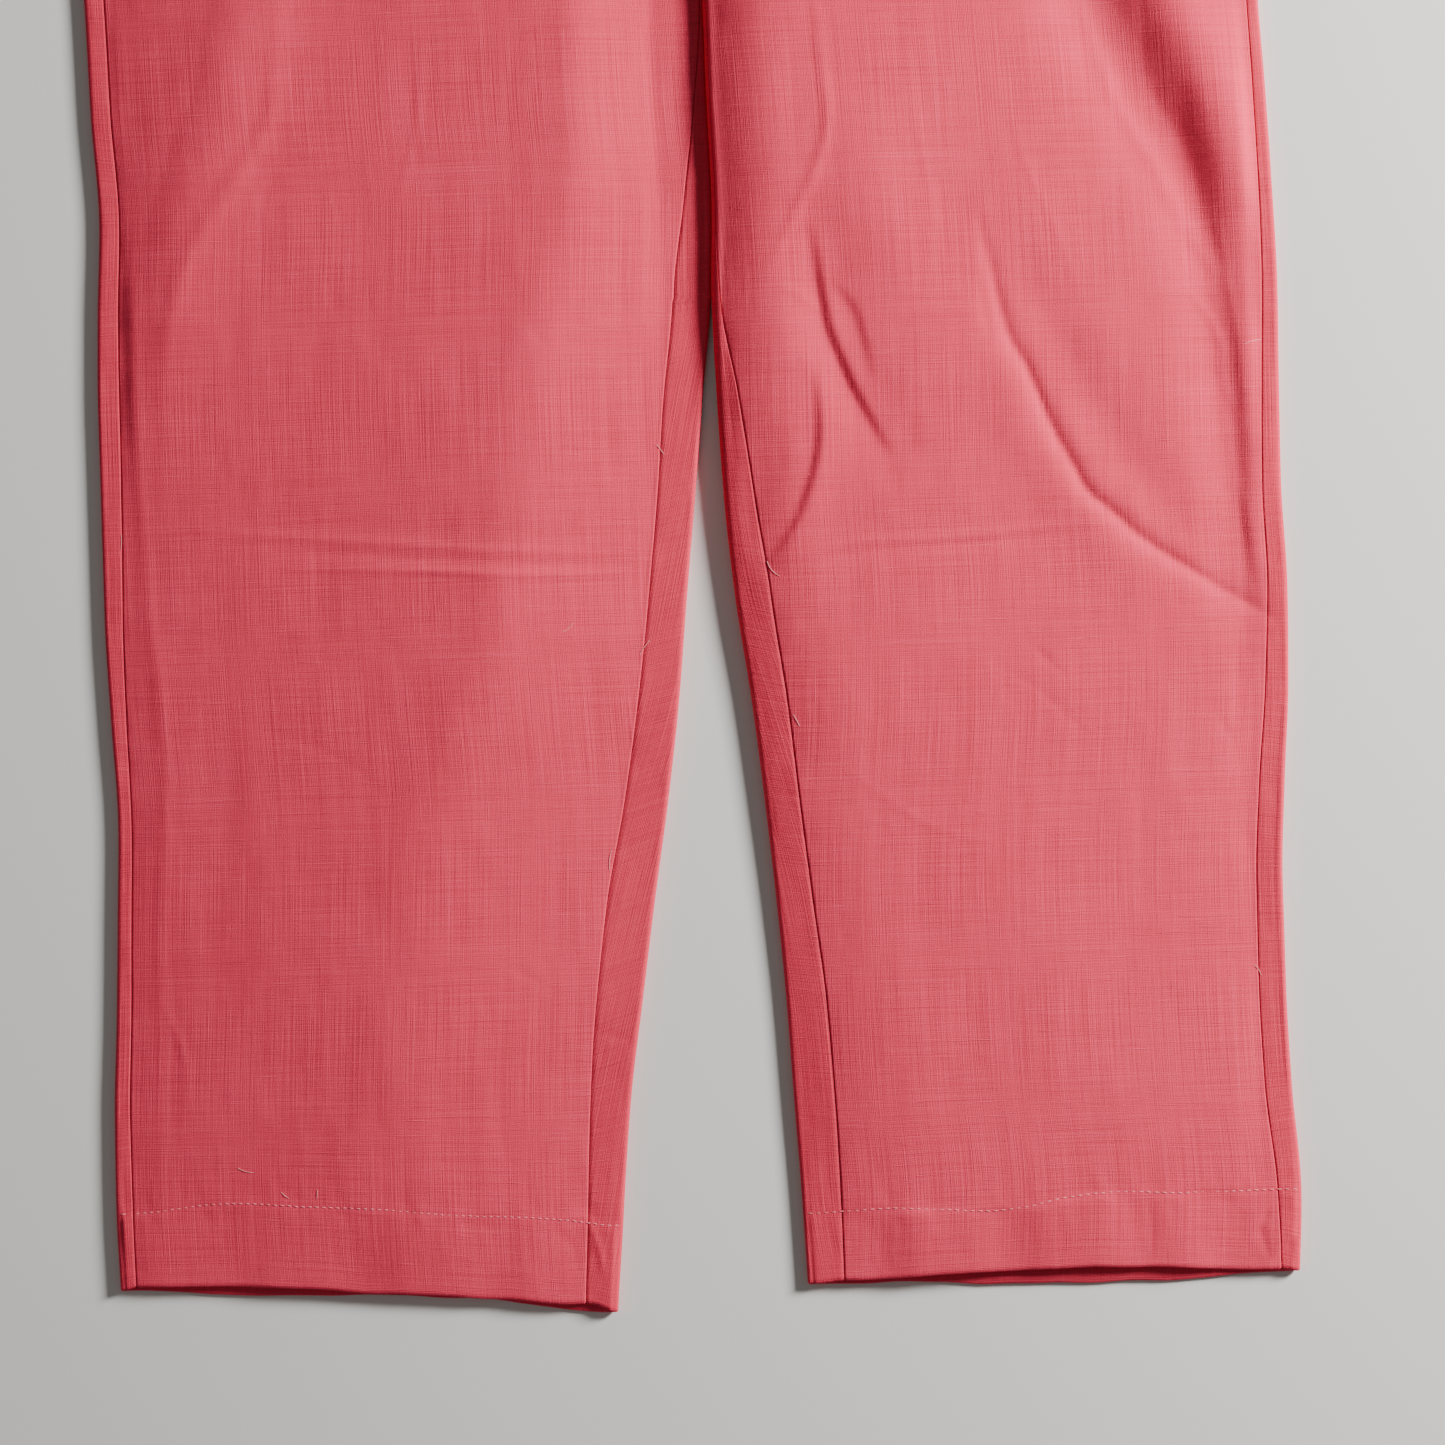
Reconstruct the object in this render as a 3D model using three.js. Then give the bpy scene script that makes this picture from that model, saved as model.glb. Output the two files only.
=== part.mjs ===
// Elasticated trousers, laid flat on their back on a surface.
// Millimetres. +X to the right as seen from above, +Y from the hems to the waist, +Z up.
// Left and right in LEFT and RIGHT are as seen from above; the nodes' names are the wearer's.
// Each leg is a tube. Its back panel lies on the surface and is wider than the front, so it folds
// round both edges and ends in a narrow strip on top, where the seam to the front panel runs.

import * as THREE from "three";
import { mergeVertices } from "three/addons/utils/BufferGeometryUtils.js";

// Cloth and seams
const CLOTH = 1.2; // wall of one layer
const HEM_TURN = 0.8; // what the turned-up hem adds inside
const HEM_DEPTH = 29;
const HEM_STEP = 2; // length over which the turned-up layer ends
const HEM_BLEND = 90; // height at which the hems' slant has faded out
const SEAM_GAP = 0.3;

// Heights above the hems
const CROTCH = 700;
const WAIST_SEAM = 925;
const BAND_TOP = 965;

// Waistband: a flat loop, its side seams on top, with ribs where the elastic gathers it
const BAND = {
  half: 176, // half of its width
  wall: 2.4,
  strip: 5, // width of the back's strips on top
  radius: 3.4, // of the fold at each end
  crown: 12.9, // height of its upper face
  run: 26, // distance from the side seam to the full height
  ribs: 24, // on the front, and as many on the back
  groove: 1.3, // depth between ribs
  edgeGroove: 0.6, // the same along its upper and lower edges
  edge: 8, // width of those edges
  calm: 10, // the ribs fade out this near to a fold
};

// Gathers below the waistband
const GATHERS = 12; // waves on each panel
const GATHER_RISE = 4.6; // full height of a wave on the front
const GATHER_LENGTH = 150; // how far below the waist seam the longest one reaches
const GATHER_UNEVEN = 0.28; // share of its length by which a gather varies
const GATHER_PINCH = 18; // distance over which the waist seam holds the waves down
const PINCHED = 0.75; // share of a wave's height at the waist seam
const BACK_GATHER_RISE = 1.2;
const BACK_GATHER_LENGTH = 90;

// How the cloth swells up from its edges
const EDGE_CALM = 7; // folds fade out this near to an edge
const LOW_CLOTH = 2.4; // and where the cloth lies as low as this
const LOW_BLEND = 5; // height over which they come back
const CROTCH_RISE = 60; // how far above the crotch the middle seam reaches the full height
const FLARE_START = 840; // from here up the outer folds thicken to the waistband's
const FLARE_LENGTH = 80;
const EDGE_RADIUS = 1.7; // of a pressed fold
const WAIST_RADIUS = 3.2; // of the same fold at the waist seam
const LEGS_MEET = 386; // from here up the legs lie side by side
const LEG_CLEARANCE = 0.4; // between the two legs' folds
const HEM_TAPER = 8; // the turned-up layer thins out this near to a seam
const HEM_MARGIN = 2; // and ends this far from an edge

// Mesh density
const LEG_COLUMNS = 20;
const END_CROWDING = 0.4; // columns stand closer near the seams
const WAVE_COLUMNS = 4;
const BACK_WAVE_COLUMNS = 2;
const ARC_COLUMNS = 2; // for a quarter turn
const FLOOR_COLUMNS = 4;
const STRIP_PITCH = 9;
const LEG_PITCH = 40; // between the rows of the legs
const LEG_ROWS_START = 65;
const LEG_ROWS_END = 505;
const THIGH_ROWS = [545, 590, 635, 672, CROTCH, CROTCH + 0.5, 722, 748, 774];
const GATHER_ROWS = [790, 812, 836, 862, 886, 908];

// Sections of the garment, from the hems to the waist seam.
// outer and inner are the leg's edges in x, outStrip and inStrip the widths of the back panel's
// strips on top, outHeight and inHeight the height of the cloth near each edge, outRun and inRun
// the distance from each seam to that height, and round the radius of the fold at the inner edge.
const COLUMNS = [
  "height", "outer", "inner", "outStrip", "inStrip", "outHeight", "inHeight", "outRun", "inRun", "round",
];
const LEFT = {
  sense: 1,
  front: "front_right_leg",
  back: "back_right_leg",
  colour: 0xca515b,
  sections: named(COLUMNS, [
    [-12, -232.6, -37.5, 6.3, 12.4, 10.6, 10.8, 34, 26, 1.7],
    [31, -233.5, -34.0, 6.7, 13.8, 10.5, 11.0, 34, 26, 1.7],
    [71, -233.0, -29.6, 6.3, 15.8, 10.3, 11.0, 34, 26, 1.7],
    [110, -231.0, -23.6, 6.0, 18.2, 10.3, 11.0, 34, 26, 1.7],
    [149, -229.4, -17.6, 5.7, 18.8, 10.3, 11.2, 35, 26, 1.7],
    [189, -228.0, -11.0, 5.5, 17.2, 10.3, 11.4, 37, 26, 1.7],
    [228, -229.6, -5.5, 6.3, 16.2, 10.4, 11.7, 39, 25, 1.7],
    [268, -230.8, -1.2, 7.4, 15.1, 10.5, 12.0, 42, 24, 1.7],
    [307, -230.8, 3.2, 8.2, 14.9, 10.6, 12.5, 46, 22, 1.7],
    [347, -230.8, 7.5, 8.7, 15.4, 10.7, 13.2, 51, 20, 1.7],
    [386, -229.8, 11.9, 8.3, 15.0, 10.8, 13.8, 57, 18, 1.7],
    [426, -228.0, 13.3, 8.1, 11.0, 11.0, 14.3, 64, 16, 1.7],
    [465, -230.0, 12.6, 8.0, 5.0, 11.0, 14.6, 70, 15, 1.7],
    [505, -231.0, 12.2, 7.9, 1.4, 11.0, 14.8, 72, 15, 1.7],
    [580, -234.0, 9.5, 7.4, 1.4, 11.2, 14.0, 68, 18, 1.7],
    [650, -239.0, 4.5, 7.0, 1.4, 11.6, 13.2, 58, 22, 1.7],
    [700, -242.0, 0.0, 6.6, 1.4, 12.0, 12.8, 48, 26, 1.7],
    [760, -244.0, 0.0, 6.2, 1.4, 12.4, 12.8, 40, 26, 1.7],
    [820, -240.0, 0.0, 5.8, 1.4, 12.8, 13.0, 36, 26, 1.7],
    [865, -226.0, 0.0, 5.4, 1.4, 13.0, 13.2, 34, 26, 1.7],
    [900, -200.0, 0.0, 5.2, 1.4, 13.0, 13.2, 34, 26, 1.7],
    [925, -176.0, 0.0, 5.0, 1.4, 12.6, 12.8, 34, 26, 1.7],
  ]),
};
const RIGHT = {
  sense: -1,
  front: "front_left_leg",
  back: "back_left_leg",
  colour: 0xe27984,
  sections: named(COLUMNS, [
    [-12, 231.6, 38.0, 7.0, 14.4, 10.6, 10.8, 34, 26, 1.7],
    [31, 233.5, 36.7, 9.5, 15.4, 10.5, 11.0, 34, 26, 1.7],
    [71, 231.0, 34.7, 10.7, 16.2, 10.4, 11.0, 34, 26, 1.7],
    [110, 230.0, 32.9, 10.7, 15.8, 10.4, 11.1, 34, 26, 1.7],
    [149, 230.0, 30.2, 10.4, 14.4, 10.4, 11.2, 34, 26, 1.7],
    [189, 232.0, 26.8, 10.1, 13.8, 10.4, 11.3, 34, 25, 1.7],
    [228, 234.7, 22.9, 9.2, 14.1, 10.5, 11.5, 34, 24, 1.8],
    [268, 235.5, 17.8, 8.0, 14.2, 10.7, 11.8, 34, 21, 1.8],
    [307, 234.3, 14.6, 7.6, 12.2, 10.9, 12.2, 34, 18, 1.9],
    [347, 234.7, 13.0, 6.9, 8.7, 11.1, 12.6, 34, 15, 1.9],
    [386, 235.3, 12.2, 6.2, 3.3, 11.3, 13.0, 34, 13, 2.0],
    [426, 234.3, 13.4, 5.4, 1.4, 11.4, 13.2, 34, 12, 2.0],
    [465, 232.8, 12.6, 5.1, 1.4, 11.5, 13.4, 34, 12, 2.0],
    [505, 231.0, 12.2, 4.6, 1.4, 11.6, 13.6, 34, 12, 2.0],
    [580, 234.0, 9.5, 4.6, 1.4, 11.8, 13.4, 34, 16, 1.9],
    [650, 239.0, 4.5, 4.8, 1.4, 12.0, 13.0, 34, 22, 1.8],
    [700, 242.0, 0.0, 5.0, 1.4, 12.2, 12.8, 34, 26, 1.7],
    [760, 244.0, 0.0, 5.2, 1.4, 12.4, 12.8, 34, 26, 1.7],
    [820, 240.0, 0.0, 5.2, 1.4, 12.8, 13.0, 34, 26, 1.7],
    [865, 226.0, 0.0, 5.2, 1.4, 13.0, 13.2, 34, 26, 1.7],
    [900, 200.0, 0.0, 5.0, 1.4, 13.0, 13.2, 34, 26, 1.7],
    [925, 176.0, 0.0, 5.0, 1.4, 12.6, 12.8, 34, 26, 1.7],
  ]),
};

// The hems' slant: drop is how far the edge lies above (+) or below (-) height 0 at each x.
const HEMS = {
  front_right_leg: named(["x", "drop"], [[-233, 4.6], [-190, 4.0], [-140, -0.6], [-90, -3.4], [-50, -5.4]]),
  back_right_leg: named(["x", "drop"], [[-233, 2.8], [-190, 0.4], [-140, -1.4], [-90, -4.6], [-36, -11.6]]),
  front_left_leg: named(["x", "drop"], [[52, -2.7], [90, -1.6], [130, 0.5], [170, 0.6], [222, -1.6]]),
  back_left_leg: named(["x", "drop"], [[38, -2.6], [90, -3.6], [130, -5.6], [180, -5.4], [232, -3.4]]),
};

// The largest folds. Each runs from (x1, y1) to (x2, y2), bowed sideways by bow, and raises or
// lowers the cloth by rise over the half-width half.
const FOLDS = named(["x1", "y1", "x2", "y2", "bow", "half", "rise"], [
  [50, 430, 86, 306, 6, 12, -1.6],
  [58, 480, 98, 326, -6, 16, 1.2],
  [50, 360, 28, 272, 7, 11, -1.0],
  [116, 440, 232, 248, 14, 12, -1.2],
  [100, 410, 206, 244, 12, 14, 0.9],
  [148, 660, 206, 372, 8, 15, -2.8],
  [173, 660, 228, 372, 7, 11, 3.0],
  [188, 474, 212, 250, -9, 10, -1.7],
  [206, 470, 230, 250, -6, 8, 1.8],
  [38, 282, 160, 293, -4, 9, -0.5],
  [-190, 300, -18, 285, -3, 9, -0.5],
  [-126, 650, -220, 318, 3, 20, 2.8],
  [-30, 690, -150, 560, -16, 15, 1.4],
  [-22, 676, -120, 520, -12, 13, -1.6],
  [26, 690, 130, 586, 14, 15, 1.4],
  [20, 670, 96, 540, 10, 12, -1.6],
  [-6, 708, -8, 790, 3, 12, -1.5],
  [-70, 150, -120, 60, 5, 20, 0.5],
  [96, 190, 150, 70, -6, 22, 0.5],
]);

function named(columns, rows) {
  return rows.map((row) => Object.fromEntries(columns.map((column, i) => [column, row[i]])));
}

function clamp01(value) {
  return Math.min(1, Math.max(0, value));
}

function smooth(value) {
  const t = clamp01(value);
  return t * t * (3 - 2 * t);
}

function mix(a, b, t) {
  return a + (b - a) * t;
}

// The slope of a table's column at row i, zero where the column turns.
function tangent(rows, key, column, i) {
  if (i === 0 || i === rows.length - 1) {
    return 0;
  }
  const before = (rows[i][column] - rows[i - 1][column]) / (rows[i][key] - rows[i - 1][key]);
  const after = (rows[i + 1][column] - rows[i][column]) / (rows[i + 1][key] - rows[i][key]);
  return before * after > 0 ? (2 * before * after) / (before + after) : 0;
}

// Reads a column at any place between a table's rows, along a smooth curve.
function read(rows, key, column, at) {
  const last = rows.length - 1;
  if (at <= rows[0][key]) {
    return rows[0][column];
  }
  if (at >= rows[last][key]) {
    return rows[last][column];
  }
  const i = rows.findIndex((row) => row[key] > at) - 1;
  const span = rows[i + 1][key] - rows[i][key];
  const t = (at - rows[i][key]) / span;
  const start = tangent(rows, key, column, i) * span;
  const end = tangent(rows, key, column, i + 1) * span;
  const a = rows[i][column];
  const b = rows[i + 1][column];
  return a + t * (start + t * (3 * (b - a) - 2 * start - end + t * (2 * (a - b) + start + end)));
}

// What the folds add to the height of the cloth at (x, y).
function foldHeight(x, y) {
  let height = 0;
  for (const fold of FOLDS) {
    const dx = fold.x2 - fold.x1;
    const dy = fold.y2 - fold.y1;
    const length = Math.hypot(dx, dy);
    const along = ((x - fold.x1) * dx + (y - fold.y1) * dy) / (length * length);
    if (along > 0 && along < 1) {
      const off = ((x - fold.x1) * dy - (y - fold.y1) * dx) / length;
      const bowed = off - fold.bow * 4 * along * (1 - along);
      const taper = Math.sin(Math.PI * along);
      height += fold.rise * taper * Math.exp(-((bowed / fold.half) ** 2));
    }
  }
  return height;
}

// How strong the gather at a place across the panel (0 to 1) is at height y, each of its own length.
function gatherStrength(across, y, longest) {
  const wander = Math.sin(5.3 * across * GATHERS + 1.1) * Math.cos(2.1 * across * GATHERS);
  const own = 1 - GATHER_UNEVEN * (1 - wander);
  const below = (WAIST_SEAM - y) / (longest * own);
  return smooth(1 - below) * mix(PINCHED, 1, smooth((WAIST_SEAM - y) / GATHER_PINCH));
}

// The numbers of one leg's section at height y.
function sectionAt(leg, y) {
  const section = { leg, y };
  for (const column of COLUMNS.slice(1)) {
    section[column] = read(leg.sections, "height", column, y);
  }
  const joined = y > CROTCH;
  section.outRadius = mix(EDGE_RADIUS, WAIST_RADIUS, smooth((y - FLARE_START) / FLARE_LENGTH));
  section.inRadius = joined ? 0 : section.round;
  section.joined = joined;
  if (joined) {
    section.inner = (-leg.sense * SEAM_GAP) / 2;
    section.inStrip = 0;
  } else if (leg === LEFT && y > LEGS_MEET) {
    section.inner = besideRight(y, section.inRadius);
  }
  section.width = Math.abs(section.inner - section.outer);
  return section;
}

// Where the left leg's inner edge ends so that its fold clears the right leg's.
function besideRight(y, radius) {
  const edge = read(RIGHT.sections, "height", "inner", y);
  const round = read(RIGHT.sections, "height", "round", y);
  const reach = radius + round + LEG_CLEARANCE;
  return edge + round + radius - Math.sqrt(reach ** 2 - (round - radius) ** 2);
}

// Height of the cloth's upper face at distance p from the leg's outer edge.
function topHeight(section, p) {
  const fromOuter = Math.max(0, p - Math.max(section.outStrip, section.outRadius));
  const dip = section.joined ? 1 - smooth((section.y - CROTCH) / CROTCH_RISE) : 1;
  const fromInner = Math.max(0, section.width - p - section.round * dip);
  const across = clamp01(p / section.width);
  const crown = mix(section.outHeight, section.inHeight, smooth(across));
  const outerEdge = 2 * section.outRadius;
  const innerEdge = 2 * section.round;
  const lowOuter = (crown - outerEdge) * (1 - smooth(fromOuter / section.outRun));
  const lowInner = (crown - innerEdge) * (1 - smooth(fromInner / section.inRun)) * dip;
  const x = section.outer + section.leg.sense * p;
  const calm = smooth(fromOuter / EDGE_CALM) * mix(1, smooth(fromInner / EDGE_CALM), dip);
  const strength = gatherStrength(across, section.y, GATHER_LENGTH);
  const wave = (GATHER_RISE / 2) * strength * Math.cos(2 * Math.PI * GATHERS * across);
  const base = crown - lowOuter - lowInner;
  const room = smooth((base - LOW_CLOTH) / LOW_BLEND);
  return base + calm * room * (foldHeight(x, section.y) + wave);
}

// What the turned-up hem adds to the wall at distance p from the outer edge.
function hemWall(section, p, level) {
  const inside = Math.min(p - section.outStrip, section.width - p - Math.max(section.inStrip, HEM_MARGIN));
  return HEM_TURN * smooth(inside / HEM_TAPER) * (1 - smooth((level - HEM_DEPTH) / HEM_STEP));
}

// The way along a section from an edge's outermost point to where a strip of this width ends.
function stripLength(width, radius) {
  return width < radius ? radius * Math.acos(1 - width / radius) : (radius * Math.PI) / 2 + width - radius;
}

function topLength(section) {
  const radii = section.outRadius + section.inRadius;
  return (radii * Math.PI) / 2 + section.width - radii;
}

// A point pair, outside and inside of the cloth, at way s over the top or under the bottom.
function pairAt(section, s, level, under) {
  const { outRadius, inRadius, width, leg } = section;
  const total = topLength(section);
  const outTurn = (outRadius * Math.PI) / 2;
  const inTurn = (inRadius * Math.PI) / 2;
  const up = under ? -1 : 1;
  let outside;
  let inside;
  if (s < outTurn) {
    const a = s / outRadius;
    outside = arcPoint(outRadius, outRadius, a, up);
    inside = arcPoint(outRadius, outRadius - CLOTH, a, up);
  } else if (s > total - inTurn) {
    const a = (total - s) / inRadius;
    outside = arcPoint(inRadius, inRadius, a, up);
    inside = arcPoint(inRadius, inRadius - CLOTH, a, up);
    outside.p = width - outside.p;
    inside.p = width - inside.p;
  } else {
    const p = outRadius + s - outTurn;
    const wall = CLOTH + hemWall(section, p, level);
    if (under) {
      const lift = backLift(section, p);
      outside = { p, z: lift };
      inside = { p, z: lift + wall };
    } else {
      const z = topHeight(section, p);
      const slope = topHeight(section, Math.min(p + 0.5, width)) - topHeight(section, Math.max(p - 0.5, 0));
      outside = { p, z };
      inside = { p, z: z - wall * Math.hypot(1, slope) };
    }
  }
  return [outside, inside].map((point) => [section.outer + leg.sense * point.p, point.z]);
}

function arcPoint(centre, radius, angle, up) {
  return { p: centre - radius * Math.cos(angle), z: centre + up * radius * Math.sin(angle) };
}

// How far the back's gathers lift it off the surface. Their troughs lie on it.
function backLift(section, p) {
  const across = clamp01(p / section.width);
  const strength = gatherStrength(across, section.y, BACK_GATHER_LENGTH);
  const calm = smooth((p - section.outRadius) / EDGE_CALM);
  return (BACK_GATHER_RISE / 2) * strength * calm * (1 - Math.cos(2 * Math.PI * GATHERS * across));
}

// Places from a to b, count steps, closer together near the ends.
function crowded(a, b, count, crowding) {
  const places = [];
  for (let i = 0; i <= count; i += 1) {
    const t = i / count;
    places.push(mix(a, b, t - (crowding * Math.sin(2 * Math.PI * t)) / (2 * Math.PI)));
  }
  return places;
}

// One row of a front panel: the point pairs from the outer seam to the inner seam.
function frontRow(leg, station) {
  const section = sectionAt(leg, station);
  const total = topLength(section);
  const start = stripLength(section.outStrip, section.outRadius) + SEAM_GAP / 2;
  const strip = stripLength(section.inStrip, section.inRadius) + SEAM_GAP / 2;
  const end = section.joined ? total : total - strip;
  const gathered = station > WAIST_SEAM - GATHER_LENGTH;
  const places = gathered
    ? crowded(start, end, GATHERS * WAVE_COLUMNS, 0)
    : crowded(start, end, LEG_COLUMNS, END_CROWDING);
  return placeRow(station, places.map((s) => pairAt(section, s, station, false)), leg.front);
}

// One row of a back panel: over the outer strip, round the edge, along the surface, and back up.
function backRow(leg, station) {
  const section = sectionAt(leg, station);
  const total = topLength(section);
  const outTurn = (section.outRadius * Math.PI) / 2;
  const inTurn = (section.inRadius * Math.PI) / 2;
  const outEnd = stripLength(section.outStrip, section.outRadius) - SEAM_GAP / 2;
  const pairs = [];
  const add = (places, under) => {
    for (const s of places) {
      pairs.push(pairAt(section, s, station, under));
    }
  };
  add(stripPlaces(outEnd, outTurn), false);
  add(crowded(0, outTurn, ARC_COLUMNS, 0), true);
  const gathered = station > WAIST_SEAM - BACK_GATHER_LENGTH;
  const floorColumns = gathered ? GATHERS * BACK_WAVE_COLUMNS : FLOOR_COLUMNS;
  add(crowded(outTurn, total - inTurn, floorColumns, 0).slice(1), true);
  if (!section.joined) {
    add(crowded(total - inTurn, total, ARC_COLUMNS, 0).slice(1), true);
    const inEnd = stripLength(section.inStrip, section.inRadius) - SEAM_GAP / 2;
    add(stripPlaces(inEnd, inTurn).reverse().map((s) => total - s), false);
  }
  return placeRow(station, pairs, leg.back);
}

// Places down a strip on top, from its seam to just before the edge's outermost point.
function stripPlaces(end, turn) {
  if (end <= turn) {
    return [end];
  }
  const count = Math.max(1, Math.round((end - turn) / STRIP_PITCH));
  const flat = crowded(end, turn, count, 0);
  const arc = crowded(turn, 0, ARC_COLUMNS, 0).slice(1, -1);
  return flat.concat(arc);
}

// Gives a row its place along the garment, with the hem's slant near the hem.
function placeRow(station, pairs, node) {
  const slant = 1 - smooth(station / HEM_BLEND);
  return pairs.map((pair) => pair.map(([x, z]) => {
    const drop = slant > 0 ? read(HEMS[node], "x", "drop", x) : 0;
    return [x, station + drop * slant, z];
  }));
}

// Heights of the rows that every panel has, so that neighbours match at their seams.
function stations() {
  const rows = [0, 9, HEM_DEPTH, HEM_DEPTH + HEM_STEP];
  for (let y = LEG_ROWS_START; y <= LEG_ROWS_END; y += LEG_PITCH) {
    rows.push(y);
  }
  return rows.concat(THIGH_ROWS, GATHER_ROWS, WAIST_SEAM - SEAM_GAP / 2);
}

// A closed wall from rows of point pairs. Rows may hold different numbers of points.
function wallGeometry(rows, flip) {
  const position = [];
  const index = [];
  const numbered = rows.map((row) => row.map((pair) => pair.map((point) => position.push(...point) / 3 - 1)));
  const triangle = (a, b, c) => index.push(...(flip ? [a, c, b] : [a, b, c]));
  const quad = (a, b, c, d) => {
    triangle(a, b, c);
    triangle(a, c, d);
  };
  for (let r = 0; r + 1 < numbered.length; r += 1) {
    stitchRows(numbered[r], numbered[r + 1], 0, triangle);
    stitchRows(numbered[r], numbered[r + 1], 1, (a, b, c) => triangle(a, c, b));
    const [low, high] = [numbered[r], numbered[r + 1]];
    quad(low[0][0], high[0][0], high[0][1], low[0][1]);
    quad(low.at(-1)[0], low.at(-1)[1], high.at(-1)[1], high.at(-1)[0]);
  }
  for (const [row, turned] of [[numbered[0], false], [numbered.at(-1), true]]) {
    for (let i = 0; i + 1 < row.length; i += 1) {
      const ring = [row[i][0], row[i][1], row[i + 1][1], row[i + 1][0]];
      quad(...(turned ? ring.reverse() : ring));
    }
  }
  return solid(position, index);
}

// Triangles between two rows, on the outside (0) or inside (1) points.
function stitchRows(low, high, side, triangle) {
  let i = 0;
  let j = 0;
  while (i < low.length - 1 || j < high.length - 1) {
    const nextLow = (i + 1) / (low.length - 1);
    const nextHigh = (j + 1) / (high.length - 1);
    const stepLow = j === high.length - 1 || (i < low.length - 1 && nextLow <= nextHigh);
    if (stepLow) {
      triangle(low[i][side], low[i + 1][side], high[j][side]);
      i += 1;
    } else {
      triangle(low[i][side], high[j + 1][side], high[j][side]);
      j += 1;
    }
  }
}

function solid(position, index) {
  const geometry = new THREE.BufferGeometry();
  geometry.setAttribute("position", new THREE.Float32BufferAttribute(position, 3));
  geometry.setIndex(index);
  const merged = mergeVertices(geometry, 1e-3);
  merged.computeVertexNormals();
  return merged;
}

// A point pair of the waistband, at way s over the top or under the bottom of its loop.
function bandPair(s, under, depth) {
  const width = 2 * BAND.half;
  const turn = (BAND.radius * Math.PI) / 2;
  const total = 2 * turn + width - 2 * BAND.radius;
  const up = under ? -1 : 1;
  const mirrored = s > total / 2;
  const way = mirrored ? total - s : s;
  let outside;
  let inside;
  if (way < turn) {
    outside = arcPoint(BAND.radius, BAND.radius, way / BAND.radius, up);
    inside = arcPoint(BAND.radius, BAND.radius - BAND.wall, way / BAND.radius, up);
  } else {
    const p = BAND.radius + way - turn;
    const calm = smooth((p - BAND.radius) / BAND.calm);
    const groove = depth * calm * (0.5 - 0.5 * Math.cos((2 * Math.PI * BAND.ribs * p) / width));
    if (under) {
      outside = { p, z: groove };
      inside = { p, z: BAND.wall };
    } else {
      const rise = smooth((p - BAND.strip) / BAND.run);
      const z = mix(2 * BAND.radius, BAND.crown, rise);
      outside = { p, z: z - groove };
      inside = { p, z: z - BAND.wall };
    }
  }
  return [outside, inside].map((point) => [(mirrored ? 1 : -1) * (BAND.half - point.p), point.z]);
}

function bandRow(station, depth, back) {
  const turn = (BAND.radius * Math.PI) / 2;
  const total = 2 * turn + 2 * (BAND.half - BAND.radius);
  const seam = stripLength(BAND.strip, BAND.radius);
  const columns = BAND.ribs * WAVE_COLUMNS;
  let pairs;
  if (back) {
    const strip = stripPlaces(seam - SEAM_GAP / 2, turn);
    const floor = [0, turn / 2, ...crowded(turn, total - turn, columns, 0), total - turn / 2, total];
    pairs = strip.map((s) => bandPair(s, false, depth));
    pairs = pairs.concat(floor.map((s) => bandPair(s, true, depth)));
    pairs = pairs.concat(strip.slice().reverse().map((s) => bandPair(total - s, false, depth)));
  } else {
    const places = crowded(seam + SEAM_GAP / 2, total - seam - SEAM_GAP / 2, columns, 0);
    pairs = places.map((s) => bandPair(s, false, depth));
  }
  return pairs.map((pair) => pair.map(([x, z]) => [x, station, z]));
}

function bandGeometry(back) {
  const rows = [
    bandRow(WAIST_SEAM + SEAM_GAP / 2, BAND.edgeGroove, back),
    bandRow(WAIST_SEAM + BAND.edge, BAND.groove, back),
    bandRow(BAND_TOP - BAND.edge, BAND.groove, back),
    bandRow(BAND_TOP, BAND.edgeGroove, back),
  ];
  return wallGeometry(rows, back);
}

function cloth(name, colour, geometry) {
  const material = new THREE.MeshStandardMaterial({ color: colour, roughness: 0.92, metalness: 0 });
  const mesh = new THREE.Mesh(geometry, material);
  mesh.name = name;
  return mesh;
}

const trousers = new THREE.Group();
for (const leg of [LEFT, RIGHT]) {
  const frontRows = stations().map((station) => frontRow(leg, station));
  const backRows = stations().map((station) => backRow(leg, station));
  trousers.add(cloth(leg.front, leg.colour, wallGeometry(frontRows, leg.sense < 0)));
  trousers.add(cloth(leg.back, leg.colour, wallGeometry(backRows, leg.sense > 0)));
}
trousers.add(cloth("waistband_front", 0xd0606c, bandGeometry(false)));
trousers.add(cloth("waistband_back", 0xd0606c, bandGeometry(true)));

// The origin is under the middle of the whole garment.
const box = new THREE.Box3().setFromObject(trousers);
const centre = box.getCenter(new THREE.Vector3());
trousers.position.set(-centre.x, -centre.y, -box.min.z);

export default trousers;
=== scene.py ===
"""Elasticated trousers of coral pink handloom cotton, laid flat on their back, front up.

Garment sizes are in millimetres: x to the right as seen from above, y up from the hems and z up
from the surface. Left and right in the tables are as seen from above. The nodes' names are the
wearer's, so the leg on the left is the right leg.
"""

import math
from types import SimpleNamespace

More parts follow.
